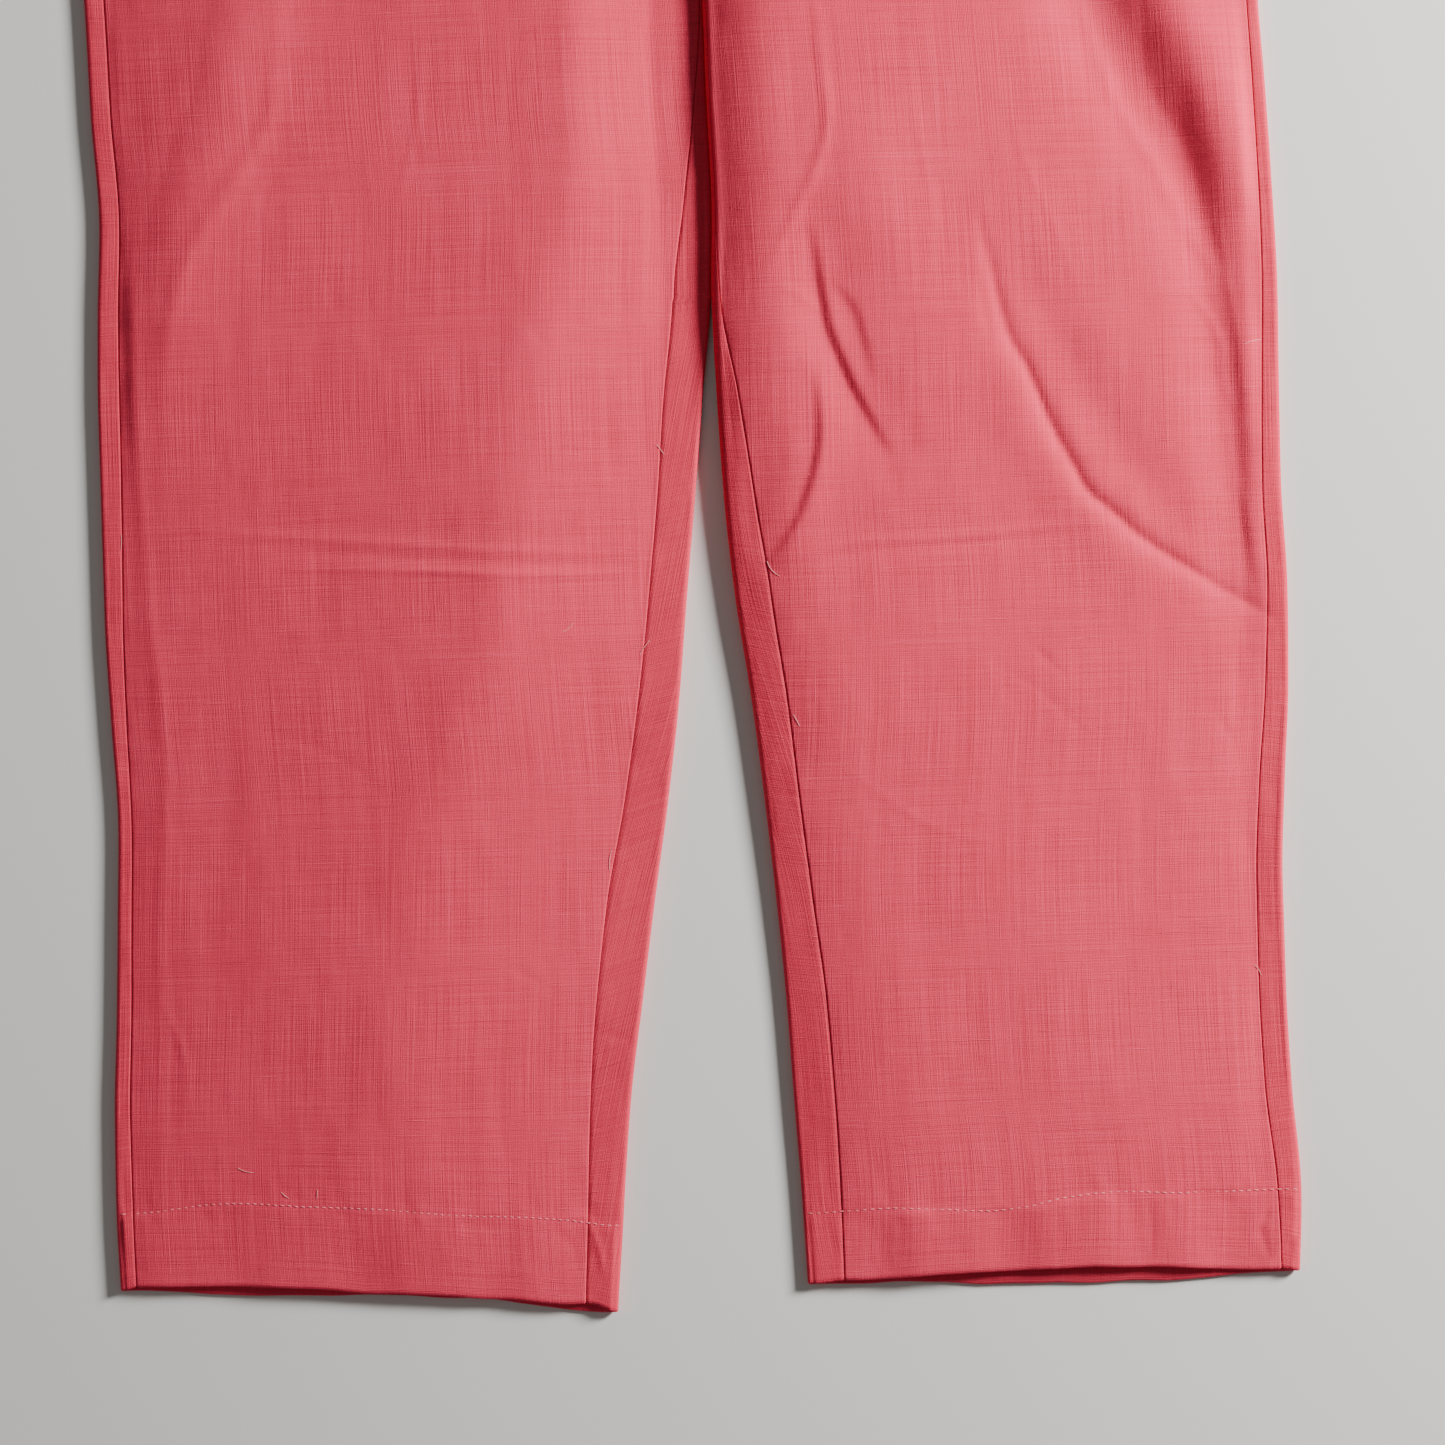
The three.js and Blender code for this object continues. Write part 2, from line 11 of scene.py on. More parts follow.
import bpy
import numpy as np
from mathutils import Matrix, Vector


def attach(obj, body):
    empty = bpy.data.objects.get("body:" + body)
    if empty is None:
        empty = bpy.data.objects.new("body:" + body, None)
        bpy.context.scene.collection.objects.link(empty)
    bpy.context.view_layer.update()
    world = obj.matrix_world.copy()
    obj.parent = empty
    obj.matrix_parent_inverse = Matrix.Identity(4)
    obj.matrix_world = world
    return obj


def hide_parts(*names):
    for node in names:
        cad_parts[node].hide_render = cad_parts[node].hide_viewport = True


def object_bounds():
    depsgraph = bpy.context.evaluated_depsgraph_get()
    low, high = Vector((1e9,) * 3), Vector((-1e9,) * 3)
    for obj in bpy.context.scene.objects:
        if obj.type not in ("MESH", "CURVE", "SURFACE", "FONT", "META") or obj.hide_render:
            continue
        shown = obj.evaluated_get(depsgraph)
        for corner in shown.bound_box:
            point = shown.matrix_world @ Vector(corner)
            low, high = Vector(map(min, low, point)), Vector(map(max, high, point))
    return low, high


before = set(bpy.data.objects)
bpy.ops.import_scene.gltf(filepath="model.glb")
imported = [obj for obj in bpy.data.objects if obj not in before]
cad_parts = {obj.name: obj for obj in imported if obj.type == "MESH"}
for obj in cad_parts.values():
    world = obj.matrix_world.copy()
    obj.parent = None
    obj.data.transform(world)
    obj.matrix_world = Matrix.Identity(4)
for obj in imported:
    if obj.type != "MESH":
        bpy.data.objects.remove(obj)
cad_box = [list(corner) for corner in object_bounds()]

# Heights above the hems
CROTCH = 700
WAIST_SEAM = 925
BAND_TOP = 965

MM = 0.001
SHIFT_Y = cad_box[1][1] / MM - BAND_TOP  # from the garment's y to the frame's

# Cloth and seams
CLOTH = 0.6
HEM_TURN = 0.7  # what the turned-up hem adds inside
HEM_DEPTH = 29
HEM_STEP = 2.5
HEM_BLEND = 90
SEAM_GAP = 0.17
LIFT = 0.15  # between the cloth and the surface that it lies on
LIP_DEPTH = 0.38  # how far an edge turns down into its seam
LIP_WIDTH = 0.7
LIP_STEEP = 0.999  # keeps the turned edge just short of upright
BAND_GAP = 0.15  # from the middle of a waistband seam to the cloth on each side
SHARP_ANGLE = 60

# Gathers below the waistband
GATHERS = 12
GATHER_RISE = 4.6
GATHER_LENGTH = 150
GATHER_UNEVEN = 0.28
GATHER_PINCH = 18
PINCHED = 0.75
WANDER_QUICK = 5.3
WANDER_SLOW = 2.1
WANDER_START = 1.1
BACK_GATHER_RISE = 1.2
BACK_GATHER_LENGTH = 90

# How the cloth swells up from its edges
EDGE_CALM = 7
EDGE_SAG = 0.4  # how far the top may lie below its folded edges
OUT_SOFT = 1.5
JOINED_RISE = 14
LOW_CLOTH = 1.6  # where the cloth lies as low as this, it has no folds
LOW_BLEND = 2.6
CROTCH_RISE = 60
FLARE_START = 840
FLARE_LENGTH = 80
EDGE_RADIUS = 1.7
WAIST_RADIUS = 3.2
LEGS_MEET = 386
LEG_CLEARANCE = 0.4

# Waistband
BAND_HALF = 176
BAND_WALL = 1.6
BAND_STRIP = 5
BAND_RADIUS = 3.4
BAND_CROWN = 12.9
BAND_RUN = 26
BAND_RIBS = 24
BAND_GROOVE = 1.3
BAND_CALM = 10
BAND_STITCH = 3.1
BAND_STITCH_ROWS = [936, 953]
BAND_STITCH_INSET = 1.2
BAND_STITCH_REST = 0.18
BACK_GROOVE = 0.8
RIB_LEAST = 0.8
RIB_SHARPNESS = 1.4
RIB_FINE = 0.28
ROW_DEPTH = 0.42
ROW_WIDTH = 1.1
BAND_TOP_CALM = 1.6
BAND_SEAM_CALM = 1.8
BAND_EDGE_SHARE = 0.45
TINY = 0.001

# Creases: how they taper and waver, and the shapes of a valley and a step
CREASE_REACH = 6
CREASE_TAPER = 0.7
CREASE_END = 0.75
CREASE_UNEVEN = 0.15
CREASE_WAVES = 9
VALLEY_SHARPNESS = 1.15
STEP_SLOPE = 0.6
STEP_FADE = 4

# The hem's stitch line, puckers, turned edge and waves
HEM_WANDER = 0.45
HEM_WANDER_PITCH = 15
STITCH_PULL = 0.25
STITCH_DEPTH = 0.32
STITCH_REACH = 0.9
PUCKER = 0.16
PUCKER_REACH = 9.0
PUCKER_START = 1.2
TURN_STEP = 0.22
TURN_EDGE = 0.5
TURN_BLEND = 2.2
HEM_RELIEF_TOP = 60
HEM_RELIEF_FADE = 20
HEM_WAVE = 0.55
HEM_WAVE_LEAN = 0.12
HEM_WAVE_PITCH = 17
HEM_WAVE_SEED = 13
HEM_WAVE_TOP = 2
HEM_WAVE_BLEND = 6

# Unevenness of the cloth: each pattern's strength, its lean, its pitch across and along, and its seed
PATTERNS = {
    "hem_pucker": (1, 0.3, 4.2, 16, 11),
    "wide_pucker": (0.6, -0.2, 9, 22, 12),
    "large": (0.22, 0, 21, 46, 21),
    "middle": (0.10, 0, 8, 15, 22),
    "fine": (0.035, 0.1, 2.6, 6.0, 23),
    "rib_drift": (0.22, 0, 13, 30, 31),
    "rib_waver": (0.10, 0, 5, 12, 32),
    "rib_depth": (0.3, 0, 11, 60, 33),
    "rib_fine": (1, 0.15, 2.6, 14, 34),
}
# Waves along a seam: strength, pitch and seed
SEAM_WAVES = [(1, 9, 24), (0.6, 4.1, 27)]
SEAM_RISE = 0.13
SEAM_REACH = 3.5
FOLDED_RELIEF = 0.3  # share of the relief that stays where a front turns down at its inner edge

# Fineness of the meshes
SEAM_ROWS = [8, 5, 3.2, 2.0, 1.3, 0.8, 0.5, 0.32, 0.15]  # below the waist seam
EDGE_COLUMNS = [0, 0.25, 0.55, 0.9, 1.3, 1.9, 2.7]  # from a front's edges
STRIP_SHARE = 0.6
STRIP_BLEND = 1.5
LEAN_LIMIT = 0.2
FINE_END = 512
FINE_ROWS = 392
COARSE_ROWS = 120
FRONT_COLUMNS = 138
BACK_COLUMNS = [16, 9, 40, 9, 16]
BAND_ROWS = 41
BAND_COLUMNS = [6, 12, 426, 12, 6]
INSIDE_ROWS = 4
INSIDE_COLUMNS = 3

# Stitches and loose thread
STITCH_PITCH = 2.8
STITCH_WIDE = 0.20
STITCH_HIGH = 0.16
STITCH_DIP = 0.8
STITCH_RISE = 0.5
STITCH_BOW = 0.6
STITCH_RINGS = [(-0.72, 0.85), (0, 1.0), (0.72, 0.85)]  # place along the stitch, and girth
HEM_STITCH_STATION = 30.0
HEM_STITCH_INSET = 1.5
HEM_STITCH_REST = 0.13
HEM_STITCH_LEAN = 0.12
HEM_LEAN_RATE = 0.9
HEM_LEAN_SEED = 41
BAND_STITCH_LEAN = 0.15
BAND_LEAN_RATE = 0.7
BAND_LEAN_SEED = 51
THREAD = 0.09
THREAD_SEED = 61
THREAD_BEND = 0.9
THREAD_REST = 0.06
THREAD_RISE = 0.12

# Where the back and the waistband lie in the weave
BACK_WEAVE_PLACE = 300
BAND_WEAVE_PLACE = 700
BAND_WEAVE_STRETCH = 1.35

# Colours, linear
FRONT_TONE = (0.82, 0.050, 0.104)
BACK_TONE = (0.78, 0.043, 0.090)
BAND_TONE = (0.80, 0.048, 0.098)
STITCH_TONE = (0.86, 0.22, 0.27)
LOOSE_TONE = (0.90, 0.42, 0.44)
FLOOR_TONE = (0.78, 0.77, 0.75)
DARK_SHARE = 0.52
LIGHT_SHARE = (1.28, 1.95, 1.8)

# The surfaces' values
CLOTH_LOOK = {
    "Roughness": 0.88,
    "Specular IOR Level": 0.12,
    "Sheen Weight": 0.10,
    "Sheen Roughness": 0.45,
    "Sheen Tint": (1.0, 0.45, 0.5, 1),
}
THREAD_LOOK = {"Roughness": 0.62, "Specular IOR Level": 0.3, "Sheen Weight": 0.2}
FLOOR_LOOK = {"Roughness": 0.85, "Specular IOR Level": 0.2}

# The weave in layers of noise: how fast each changes across and along the cloth, its detail, its
# roughness, its place in the noise, and the limits of what counts, if not all
WEAVE = {
    "warp": ((2.9, 0.016), 1.0, 0.5, (0, 0), None),
    "weft": ((0.018, 3.0), 1.0, 0.5, (31, 7), None),
    "grain": ((2.8, 2.8), 1.0, 0.5, (11, 17), None),
    "bands": ((0.5, 0.008), 2.0, 0.5, (5, 90), None),
    "shed": ((0.010, 0.6), 1.0, 0.5, (70, 12), None),
    "slub": ((0.055, 2.3), 1.0, 0.5, (13, 57), (0.62, 0.76)),
    "dark_slub": ((0.06, 2.4), 1.0, 0.5, (41, 3), (0.63, 0.77)),
    "slub_up": ((2.3, 0.05), 1.0, 0.5, (83, 5), (0.64, 0.78)),
    "speck": ((0.45, 0.8), 2.0, 0.6, (3, 33), (0.27, 0.20)),
    "soft": ((0.014, 0.017), 2.0, 0.5, (9, 4), None),
}
# How much each layer lightens the cloth, or raises it
TONE_WEIGHTS = {"warp": 0.60, "weft": 0.50, "grain": 0.80, "bands": 0.20, "shed": 0.10, "soft": 0.18}
SLUB_WEIGHTS = {"slub": 0.22, "slub_up": 0.13, "dark_slub": -0.15, "speck": -0.5}
BUMP_WEIGHTS = {"warp": 1.0, "weft": 1.0, "grain": 0.8, "slub": 0.6, "slub_up": 0.4}
TONE_MIDDLE = 0.49
NOISE_MIDDLE = 0.5
BUMP_STRENGTH = 0.7
BUMP_HEIGHT = 0.00028

# Light and view, in metres and degrees
LIGHT_AIM = (0.0, -0.22, 0.0)
KEY_PLACE = (1.5, 0.43, 0.75)
KEY_SIZE = 0.42
KEY_POWER = 87
KEY_COLOUR = (1.0, 0.985, 0.96)
FILL_PLACE = (-0.9, -0.5, 1.6)
FILL_SIZE = 1.6
FILL_POWER = 1.6
FILL_COLOUR = (1.0, 0.98, 0.95)
WORLD_COLOUR = (1.0, 0.97, 0.93, 1)
WORLD_LIGHT = 0.12
FLOOR_HALF = 3.0
FLOOR_DROP = 0.0004
SENSOR_WIDTH = 36
VIEW_HEIGHT = 1.75
VIEW_WIDTH = 0.570
VIEW_CENTRE = (0.01128, -0.2577)
VIEW_TURN = -1.8137

# Sections of the garment from the hems to the waist seam. outer and inner are the x of a leg's edges,
# and the strips are what the back shows on top. A height is the cloth's towards that edge, a slope is
# how steeply it rises there, in_flat is how far the inner side stays low, and round is its fold's radius.
COLUMNS = [
    "height", "outer", "inner", "out_strip", "in_strip", "out_height", "in_height",
    "out_slope", "in_slope", "in_flat", "round",
]
LEFT = SimpleNamespace(
    sense=1,
    front="front_right_leg",
    back="back_right_leg",
    stitch=2.7,
    in_soft=2,
    sections=[
        [-12, -232.6, -37.5, 6.3, 12.4, 3.9, 5.2, 0.1, 0.04, 8, 1.7],
        [31, -233.5, -34, 6.7, 13.8, 4.1, 9.6, 0.15, 0.06, 12, 1.7],
        [71, -233, -29.6, 6.3, 15.8, 4.2, 13, 0.15, 0.07, 15, 1.7],
        [110, -231, -23.6, 6, 18.2, 4.2, 14.2, 0.15, 0.08, 17, 1.7],
        [149, -229.4, -17.6, 5.7, 18.8, 4.2, 14.6, 0.15, 0.085, 17, 1.7],
        [189, -228, -11, 5.5, 17.2, 4.2, 15, 0.15, 0.095, 17, 1.7],
        [228, -229.6, -5.5, 6.3, 16.2, 4.2, 15.2, 0.15, 0.13, 16, 1.7],
        [268, -230.8, -1.2, 7.4, 15.1, 4.2, 15.2, 0.15, 0.15, 15, 1.7],
        [307, -230.8, 3.2, 8.2, 14.9, 4.2, 15, 0.15, 0.15, 15, 1.7],
        [347, -230.8, 7.5, 8.7, 15.4, 4.2, 14.8, 0.15, 0.155, 15, 1.6],
        [386, -229.8, 11.9, 8.3, 15, 4.3, 13.8, 0.15, 0.18, 17, 1.5],
        [426, -228, 13.3, 8.1, 11, 4.5, 12.6, 0.15, 0.23, 19, 1.4],
        [465, -230, 12.6, 8, 5, 4.8, 12.2, 0.15, 0.26, 20, 1.4],
        [505, -231, 12.2, 7.9, 1.4, 5.2, 12.2, 0.15, 0.26, 19, 1.4],
        [580, -234, 9.5, 7.4, 1.4, 7, 13, 0.15, 0.24, 10, 1.5],
        [650, -239, 4.5, 7, 1.4, 9.5, 13, 0.18, 0.25, 3, 1.7],
        [700, -242, 0, 6.6, 1.4, 11.5, 13, 0.2, 0.3, 0, 1.7],
        [760, -244, 0, 6.2, 1.4, 12.4, 12.8, 0.22, 0.3, 0, 1.7],
        [820, -240, 0, 5.8, 1.4, 12.8, 13, 0.26, 0.3, 0, 1.7],
        [865, -226, 0, 5.4, 1.4, 13, 13.2, 0.3, 0.3, 0, 1.7],
        [900, -200, 0, 5.2, 1.4, 13, 13.2, 0.3, 0.3, 0, 1.7],
        [925, -176, 0, 5, 1.4, 12.6, 12.8, 0.3, 0.3, 0, 1.7],
    ],
)
RIGHT = SimpleNamespace(
    sense=-1,
    front="front_left_leg",
    back="back_left_leg",
    stitch=3,
    in_soft=4.5,
    sections=[
        [-12, 231.6, 38, 7, 14.4, 4.2, 5, 0.035, 0.14, 0, 1.8],
        [31, 233.5, 36.7, 9.5, 15.4, 5, 6.6, 0.035, 0.16, 0, 1.8],
        [71, 231, 34.7, 10.7, 16.2, 5.4, 8.2, 0.035, 0.17, 0, 1.9],
        [110, 230, 32.9, 10.7, 15.8, 5.6, 9, 0.035, 0.17, 0, 2],
        [149, 230, 30.2, 10.4, 14.4, 5.6, 9.3, 0.035, 0.18, 0, 2.2],
        [189, 232, 26.8, 10.1, 13.8, 5.6, 9.7, 0.035, 0.21, 0, 2.5],
        [228, 234.7, 22.9, 9.2, 14.1, 5.7, 10.3, 0.035, 0.24, 0, 2.7],
        [268, 235.5, 17.8, 8, 14.2, 5.8, 11, 0.038, 0.27, 0, 3],
        [307, 234.3, 14.6, 7.6, 12.2, 6, 11.8, 0.042, 0.3, 0, 3.4],
        [347, 234.7, 13, 6.9, 8.7, 6.2, 12.6, 0.046, 0.32, 0, 3.8],
        [386, 235.3, 12.2, 6.2, 3.3, 6.4, 13.4, 0.05, 0.34, 0, 4.1],
        [426, 234.3, 13.4, 5.4, 1.4, 6.8, 14.2, 0.053, 0.36, 0, 4.2],
        [465, 232.8, 12.6, 5.1, 1.4, 7.2, 14.4, 0.056, 0.36, 0, 4.3],
        [505, 231, 12.2, 4.6, 1.4, 7.8, 14.4, 0.06, 0.36, 0, 4.3],
        [580, 234, 9.5, 4.6, 1.4, 9, 14, 0.11, 0.34, 0, 3.6],
        [650, 239, 4.5, 4.8, 1.4, 10.5, 13.2, 0.18, 0.3, 0, 2.4],
        [700, 242, 0, 5, 1.4, 12, 12.8, 0.2, 0.3, 0, 1.7],
        [760, 244, 0, 5.2, 1.4, 12.4, 12.8, 0.22, 0.3, 0, 1.7],
        [820, 240, 0, 5.2, 1.4, 12.8, 13, 0.26, 0.3, 0, 1.7],
        [865, 226, 0, 5.2, 1.4, 13, 13.2, 0.3, 0.3, 0, 1.7],
        [900, 200, 0, 5, 1.4, 13, 13.2, 0.3, 0.3, 0, 1.7],
        [925, 176, 0, 5, 1.4, 12.6, 12.8, 0.3, 0.3, 0, 1.7],
    ],
)

# The hems' slant: how far the edge lies above (+) or below (-) height 0 at each x
HEMS = {
    "front_right_leg": [
        [-233, 4.2], [-190, 3.6], [-166, 2.5], [-140, -0.2], [-111, -2.4], [-81, -4.8], [-54, -7.8],
    ],
    "back_right_leg": [[-233, 2.8], [-190, 0.4], [-140, -1.4], [-90, -4.6], [-36, -11.6]],
    "front_left_leg": [
        [38, -1.7], [56, -1.7], [90, -0.5], [130, 0.5], [160, 0.7], [199, -1.6], [222, -2.4],
    ],
    "back_left_leg": [[38, -2.6], [90, -3.6], [130, -5.6], [180, -5.4], [232, -3.4]],
}

# The stitch line's height at each x
HEM_STITCHES = {
    "front_right_leg": [
        [-228, 33], [-190, 36], [-160, 34], [-130, 32], [-100, 28.6], [-75, 27], [-55, 25], [-37, 22.4],
    ],
    "front_left_leg": [
        [40, 24.8], [70, 26], [95, 24.7], [110, 23.7], [125, 24.9],
        [140, 28], [160, 29.6], [190, 28.4], [228, 28.4],
    ],
}

# The largest folds: x and y of both ends, how far the middle bows out, the half-width and the rise
FOLDS = [
    [50, 430, 86, 306, 6, 12, -1.6],
    [58, 480, 98, 326, -6, 16, 1.2],
    [50, 360, 28, 272, 7, 11, -1],
    [116, 440, 232, 248, 14, 12, -1.2],
    [100, 410, 206, 244, 12, 14, 0.9],
    [110, 640, 232, 366, 8, 17, -4.2],
    [146, 640, 262, 366, 8, 18, 5.4],
    [188, 474, 212, 250, -9, 10, -1.7],
    [206, 470, 230, 250, -6, 8, 1.8],
    [38, 282, 160, 293, -4, 9, -0.5],
    [-190, 300, -18, 285, -3, 9, -0.5],
    [-126, 650, -220, 318, 3, 20, 2.8],
    [-30, 690, -150, 560, -16, 15, 1.4],
    [-22, 676, -120, 520, -12, 13, -1.6],
    [26, 690, 130, 586, 14, 15, 1.4],
    [20, 670, 96, 540, 10, 12, -1.6],
    [-6, 708, -8, 790, 3, 12, -1.5],
    [-70, 150, -120, 60, 5, 20, 0.5],
    [96, 190, 150, 70, -6, 22, 0.5],
]

# Fine creases of the front. A valley has a sharp bottom, a ridge a soft top, and a step rises
# towards the right of its path, seen from its first point. wide is the half-width.
CREASES = [
    ("step", -1, 2.1, [
        (52, 414), (54.9, 392), (57.5, 375), (60.3, 366), (66.6, 350), (72.5, 338), (80.7, 322),
    ]),
    ("step", -0.42, 1.8, [(58.8, 392), (67.5, 381), (71.1, 370), (74.9, 351)]),
    ("ridge", 0.22, 1.6, [(35.5, 391), (47.5, 385), (56.4, 377)]),
    ("step", -0.8, 2.2, [
        (51.3, 356), (52.5, 342), (52.6, 332), (50.1, 317), (43.6, 299), (35.7, 287), (30.5, 282),
    ]),
    ("valley", 2.4, 3.3, [
        (118, 416), (127, 372), (135, 355), (143, 334), (152, 316), (158, 305), (166, 298),
        (179, 286), (195, 275), (212, 264), (232, 252),
    ]),
    ("valley", 0.4, 1.4, [(117.1, 391), (119.1, 376), (120.4, 366)]),
    ("ridge", 0.4, 1.9, [(36, 281), (66, 287.8), (104, 289), (142, 291.7), (166, 293)]),
    ("valley", 0.34, 1.5, [(52, 283), (84, 285.4), (122, 287), (150, 288)]),
    ("valley", 0.5, 5, [
        (181, 540), (184.8, 495), (186.6, 465), (200, 442), (207, 413), (216, 385), (218, 352),
    ]),
    ("ridge", 0.5, 3, [(158, 505), (173, 460), (187, 435), (196, 416), (207, 396), (216, 383)]),
    ("ridge", 0.34, 1.5, [(197, 386), (207, 374), (211.8, 362), (212.5, 348), (216.6, 335)]),
    ("ridge", 0.4, 1.8, [(212, 412), (218.3, 367), (220.2, 336)]),
    ("valley", 0.24, 1.2, [(131, 248), (147.7, 232)]),
    ("valley", 0.26, 1.4, [(204.9, 219), (212.3, 204)]),
    ("ridge", 0.24, 1.5, [
        (209, 350), (215.7, 311), (216.5, 260), (217.8, 226), (217.2, 198), (218.9, 150),
    ]),
    ("step", -0.3, 1.6, [(218, 306), (222.5, 266)]),
    ("ridge", 0.5, 1.9, [(-194, 300), (-126, 294.2), (-81, 289.7), (-51, 287.9), (-14.9, 284.8)]),
    ("ridge", 0.62, 1.25, [(-160, 284.6), (-104, 282.1), (-66, 279.3), (-15, 279.3)]),
    ("valley", 0.4, 1.6, [(-170, 293), (-104, 287), (-60, 283.6), (-15, 282)]),
    ("valley", 0.3, 1.3, [(-44, 98.6), (-25, 94.6)]),
    ("valley", 0.3, 6, [(-178, 540), (-186.7, 480), (-197, 456), (-208, 426), (-218, 392)]),
    ("ridge", 0.45, 4, [(-155, 520), (-157, 469), (-172, 440), (-189, 415), (-199, 390), (-206, 352)]),
    ("ridge", 0.3, 2.6, [
        (-217.5, 540), (-218, 461), (-215.6, 354), (-214.4, 303), (-212, 262), (-210, 242),
        (-208.3, 195), (-212.6, 135), (-215.5, 40),
    ]),
    ("valley", 0.2, 1.3, [(-156.7, 442), (-163, 429), (-164.7, 414), (-165.5, 387)]),
    ("ridge", 0.2, 1.4, [(-40, 378), (-16.8, 374)]),
    ("valley", 0.2, 1.2, [(-60.1, 376.6), (-53.2, 369.3)]),
    ("valley", 0.18, 1.6, [(-80.2, 129), (-55.4, 113.2)]),
    ("valley", 0.35, 1.3, [(173, 24), (174, 12), (172.6, 3)]),
    ("ridge", 0.5, 2.2, [(55.4, 512), (58.7, 475), (59.5, 451), (53.3, 432), (44.1, 414), (34, 393)]),
    ("ridge", 0.2, 1.6, [(92, 486), (95, 450), (103, 402)]),
    ("ridge", 0.16, 1.3, [(128, 470), (136, 438), (150, 404), (158, 380)]),
    ("ridge", 0.18, 1.4, [(-96, 505), (-101, 460), (-112, 420)]),
    ("valley", 1.1, 8, [(218, 410), (217, 300), (217.5, 200), (218, 100), (219, 20)]),
    ("valley", 0.16, 1.3, [(-60, 500), (-66, 452), (-62, 410)]),
    ("valley", 0.2, 1.3, [(118, 240), (138, 226), (160, 204)]),
    ("ridge", 0.16, 1.5, [(58, 200), (92, 176), (120, 168)]),
    ("valley", 0.16, 1.4, [(-180, 226), (-140, 210), (-118, 190)]),
    ("ridge", 0.2, 1.4, [(-214, 120), (-204, 92), (-206, 64)]),
    ("valley", 0.22, 1.2, [(-62, 24), (-54, 14), (-52, 4)]),
    ("ridge", 0.3, 1.3, [(-48, 26), (-44, 14), (-42, 2)]),
    ("valley", 0.5, 1.6, [(222, 24), (217, 13), (221, -1)]),
    ("step", 0.5, 1.8, [(232, 12), (226, 6), (219, -2)]),
    # Past the photograph's upper edge
    ("valley", 0.8, 4, [(-20, 660), (-58, 632), (-96, 606), (-128, 590)]),
    ("step", 0.5, 2.2, [(-14, 626), (-44, 592), (-70, 566)]),
    ("valley", 0.7, 3.6, [(16, 664), (50, 640), (86, 616), (120, 604)]),
    ("step", -0.5, 2, [(22, 632), (44, 600), (60, 562)]),
    ("ridge", 0.4, 2.4, [(-212, 700), (-205, 640), (-214, 590)]),
    ("valley", 0.5, 3, [(206, 716), (198, 662), (210, 604)]),
    ("valley", 0.3, 2, [(-4, 760), (-36, 742), (-60, 736)]),
    ("valley", 0.3, 2, [(6, 748), (34, 728), (66, 724)]),
]

# Small loose ends of thread: where each starts, its length and its way out in degrees
THREAD_ENDS = [
    (-20.4, 246.7, 7, 60), (-33.9, 170.1, 8, 250), (-8.4, 325.2, 5, 120), (228.0, 363.1, 7, 185),
    (39.2, 221.1, 5, 300), (30.8, 281.8, 8, 285), (220.1, 112.8, 5, 100), (-50.1, 256.7, 5, 20),
    (-178.7, 48.0, 6.5, 176), (-168, 40, 4, 310), (-223.3, 294.6, 6, 80), (-154, 37, 3.4, 80),
]


def clamp01(value):
    return np.clip(value, 0.0, 1.0)


def smooth(value):
    t = clamp01(value)
    return t * t * (3 - 2 * t)


def bell(value):
    return np.exp(-(value**2))


def mix(a, b, t):
    return a + (b - a) * t


def read(rows, column, at):
    """Reads a table's column between its rows, along a smooth curve. The first column is the key."""
    table = np.array(rows, float)
    xs = table[:, 0]
    ys = table[:, column]
    slopes = np.diff(ys) / np.diff(xs)
    product = slopes[:-1] * slopes[1:]
    total = slopes[:-1] + slopes[1:]
    tangents = np.zeros(len(xs))
    tangents[1:-1] = np.where(product > 0, 2 * product / np.where(total == 0, 1, total), 0)
    at = np.clip(at, xs[0], xs[-1])
    i = np.clip(np.searchsorted(xs, at, side="right") - 1, 0, len(xs) - 2)
    span = xs[i + 1] - xs[i]
    t = (at - xs[i]) / span
    start = tangents[i] * span
    end = tangents[i + 1] * span
    a, b = ys[i], ys[i + 1]
    return a + t * (start + t * (3 * (b - a) - 2 * start - end + t * (2 * (a - b) + start + end)))


def uneven(x, y, pitch_x, pitch_y, seed):
    """Smooth uneven values from -1 to 1 over the plane."""
    cells = 64
    values = np.random.default_rng(seed).uniform(-1, 1, (cells, cells))
    gx = np.asarray(x, float) / pitch_x
    gy = np.asarray(y, float) / pitch_y
    ix = np.floor(gx).astype(int)
    iy = np.floor(gy).astype(int)
    tx = smooth(gx - ix)
    ty = smooth(gy - iy)
    low = mix(values[iy % cells, ix % cells], values[iy % cells, (ix + 1) % cells], tx)
    high = mix(values[(iy + 1) % cells, ix % cells], values[(iy + 1) % cells, (ix + 1) % cells], tx)
    return mix(low, high, ty)


def pattern(name, x, y):
    """One of the patterns of unevenness."""
    strength, lean, pitch_x, pitch_y, seed = PATTERNS[name]
    return strength * uneven(x + lean * y, y, pitch_x, pitch_y, seed)


def line_height(line, x):
    """The height of a line at x, from its few points."""
    return read(line, 1, x)


def fold_height(x, y):
    height = np.zeros(np.broadcast(x, y).shape)
    for x1, y1, x2, y2, bow, half, rise in FOLDS:
        dx, dy = x2 - x1, y2 - y1
        length = math.hypot(dx, dy)
        along = clamp01(((x - x1) * dx + (y - y1) * dy) / length**2)
        off = ((x - x1) * dy - (y - y1) * dx) / length
        bowed = off - bow * 4 * along * (1 - along)
        height += rise * np.sin(np.pi * along) * bell(bowed / half)
    return height


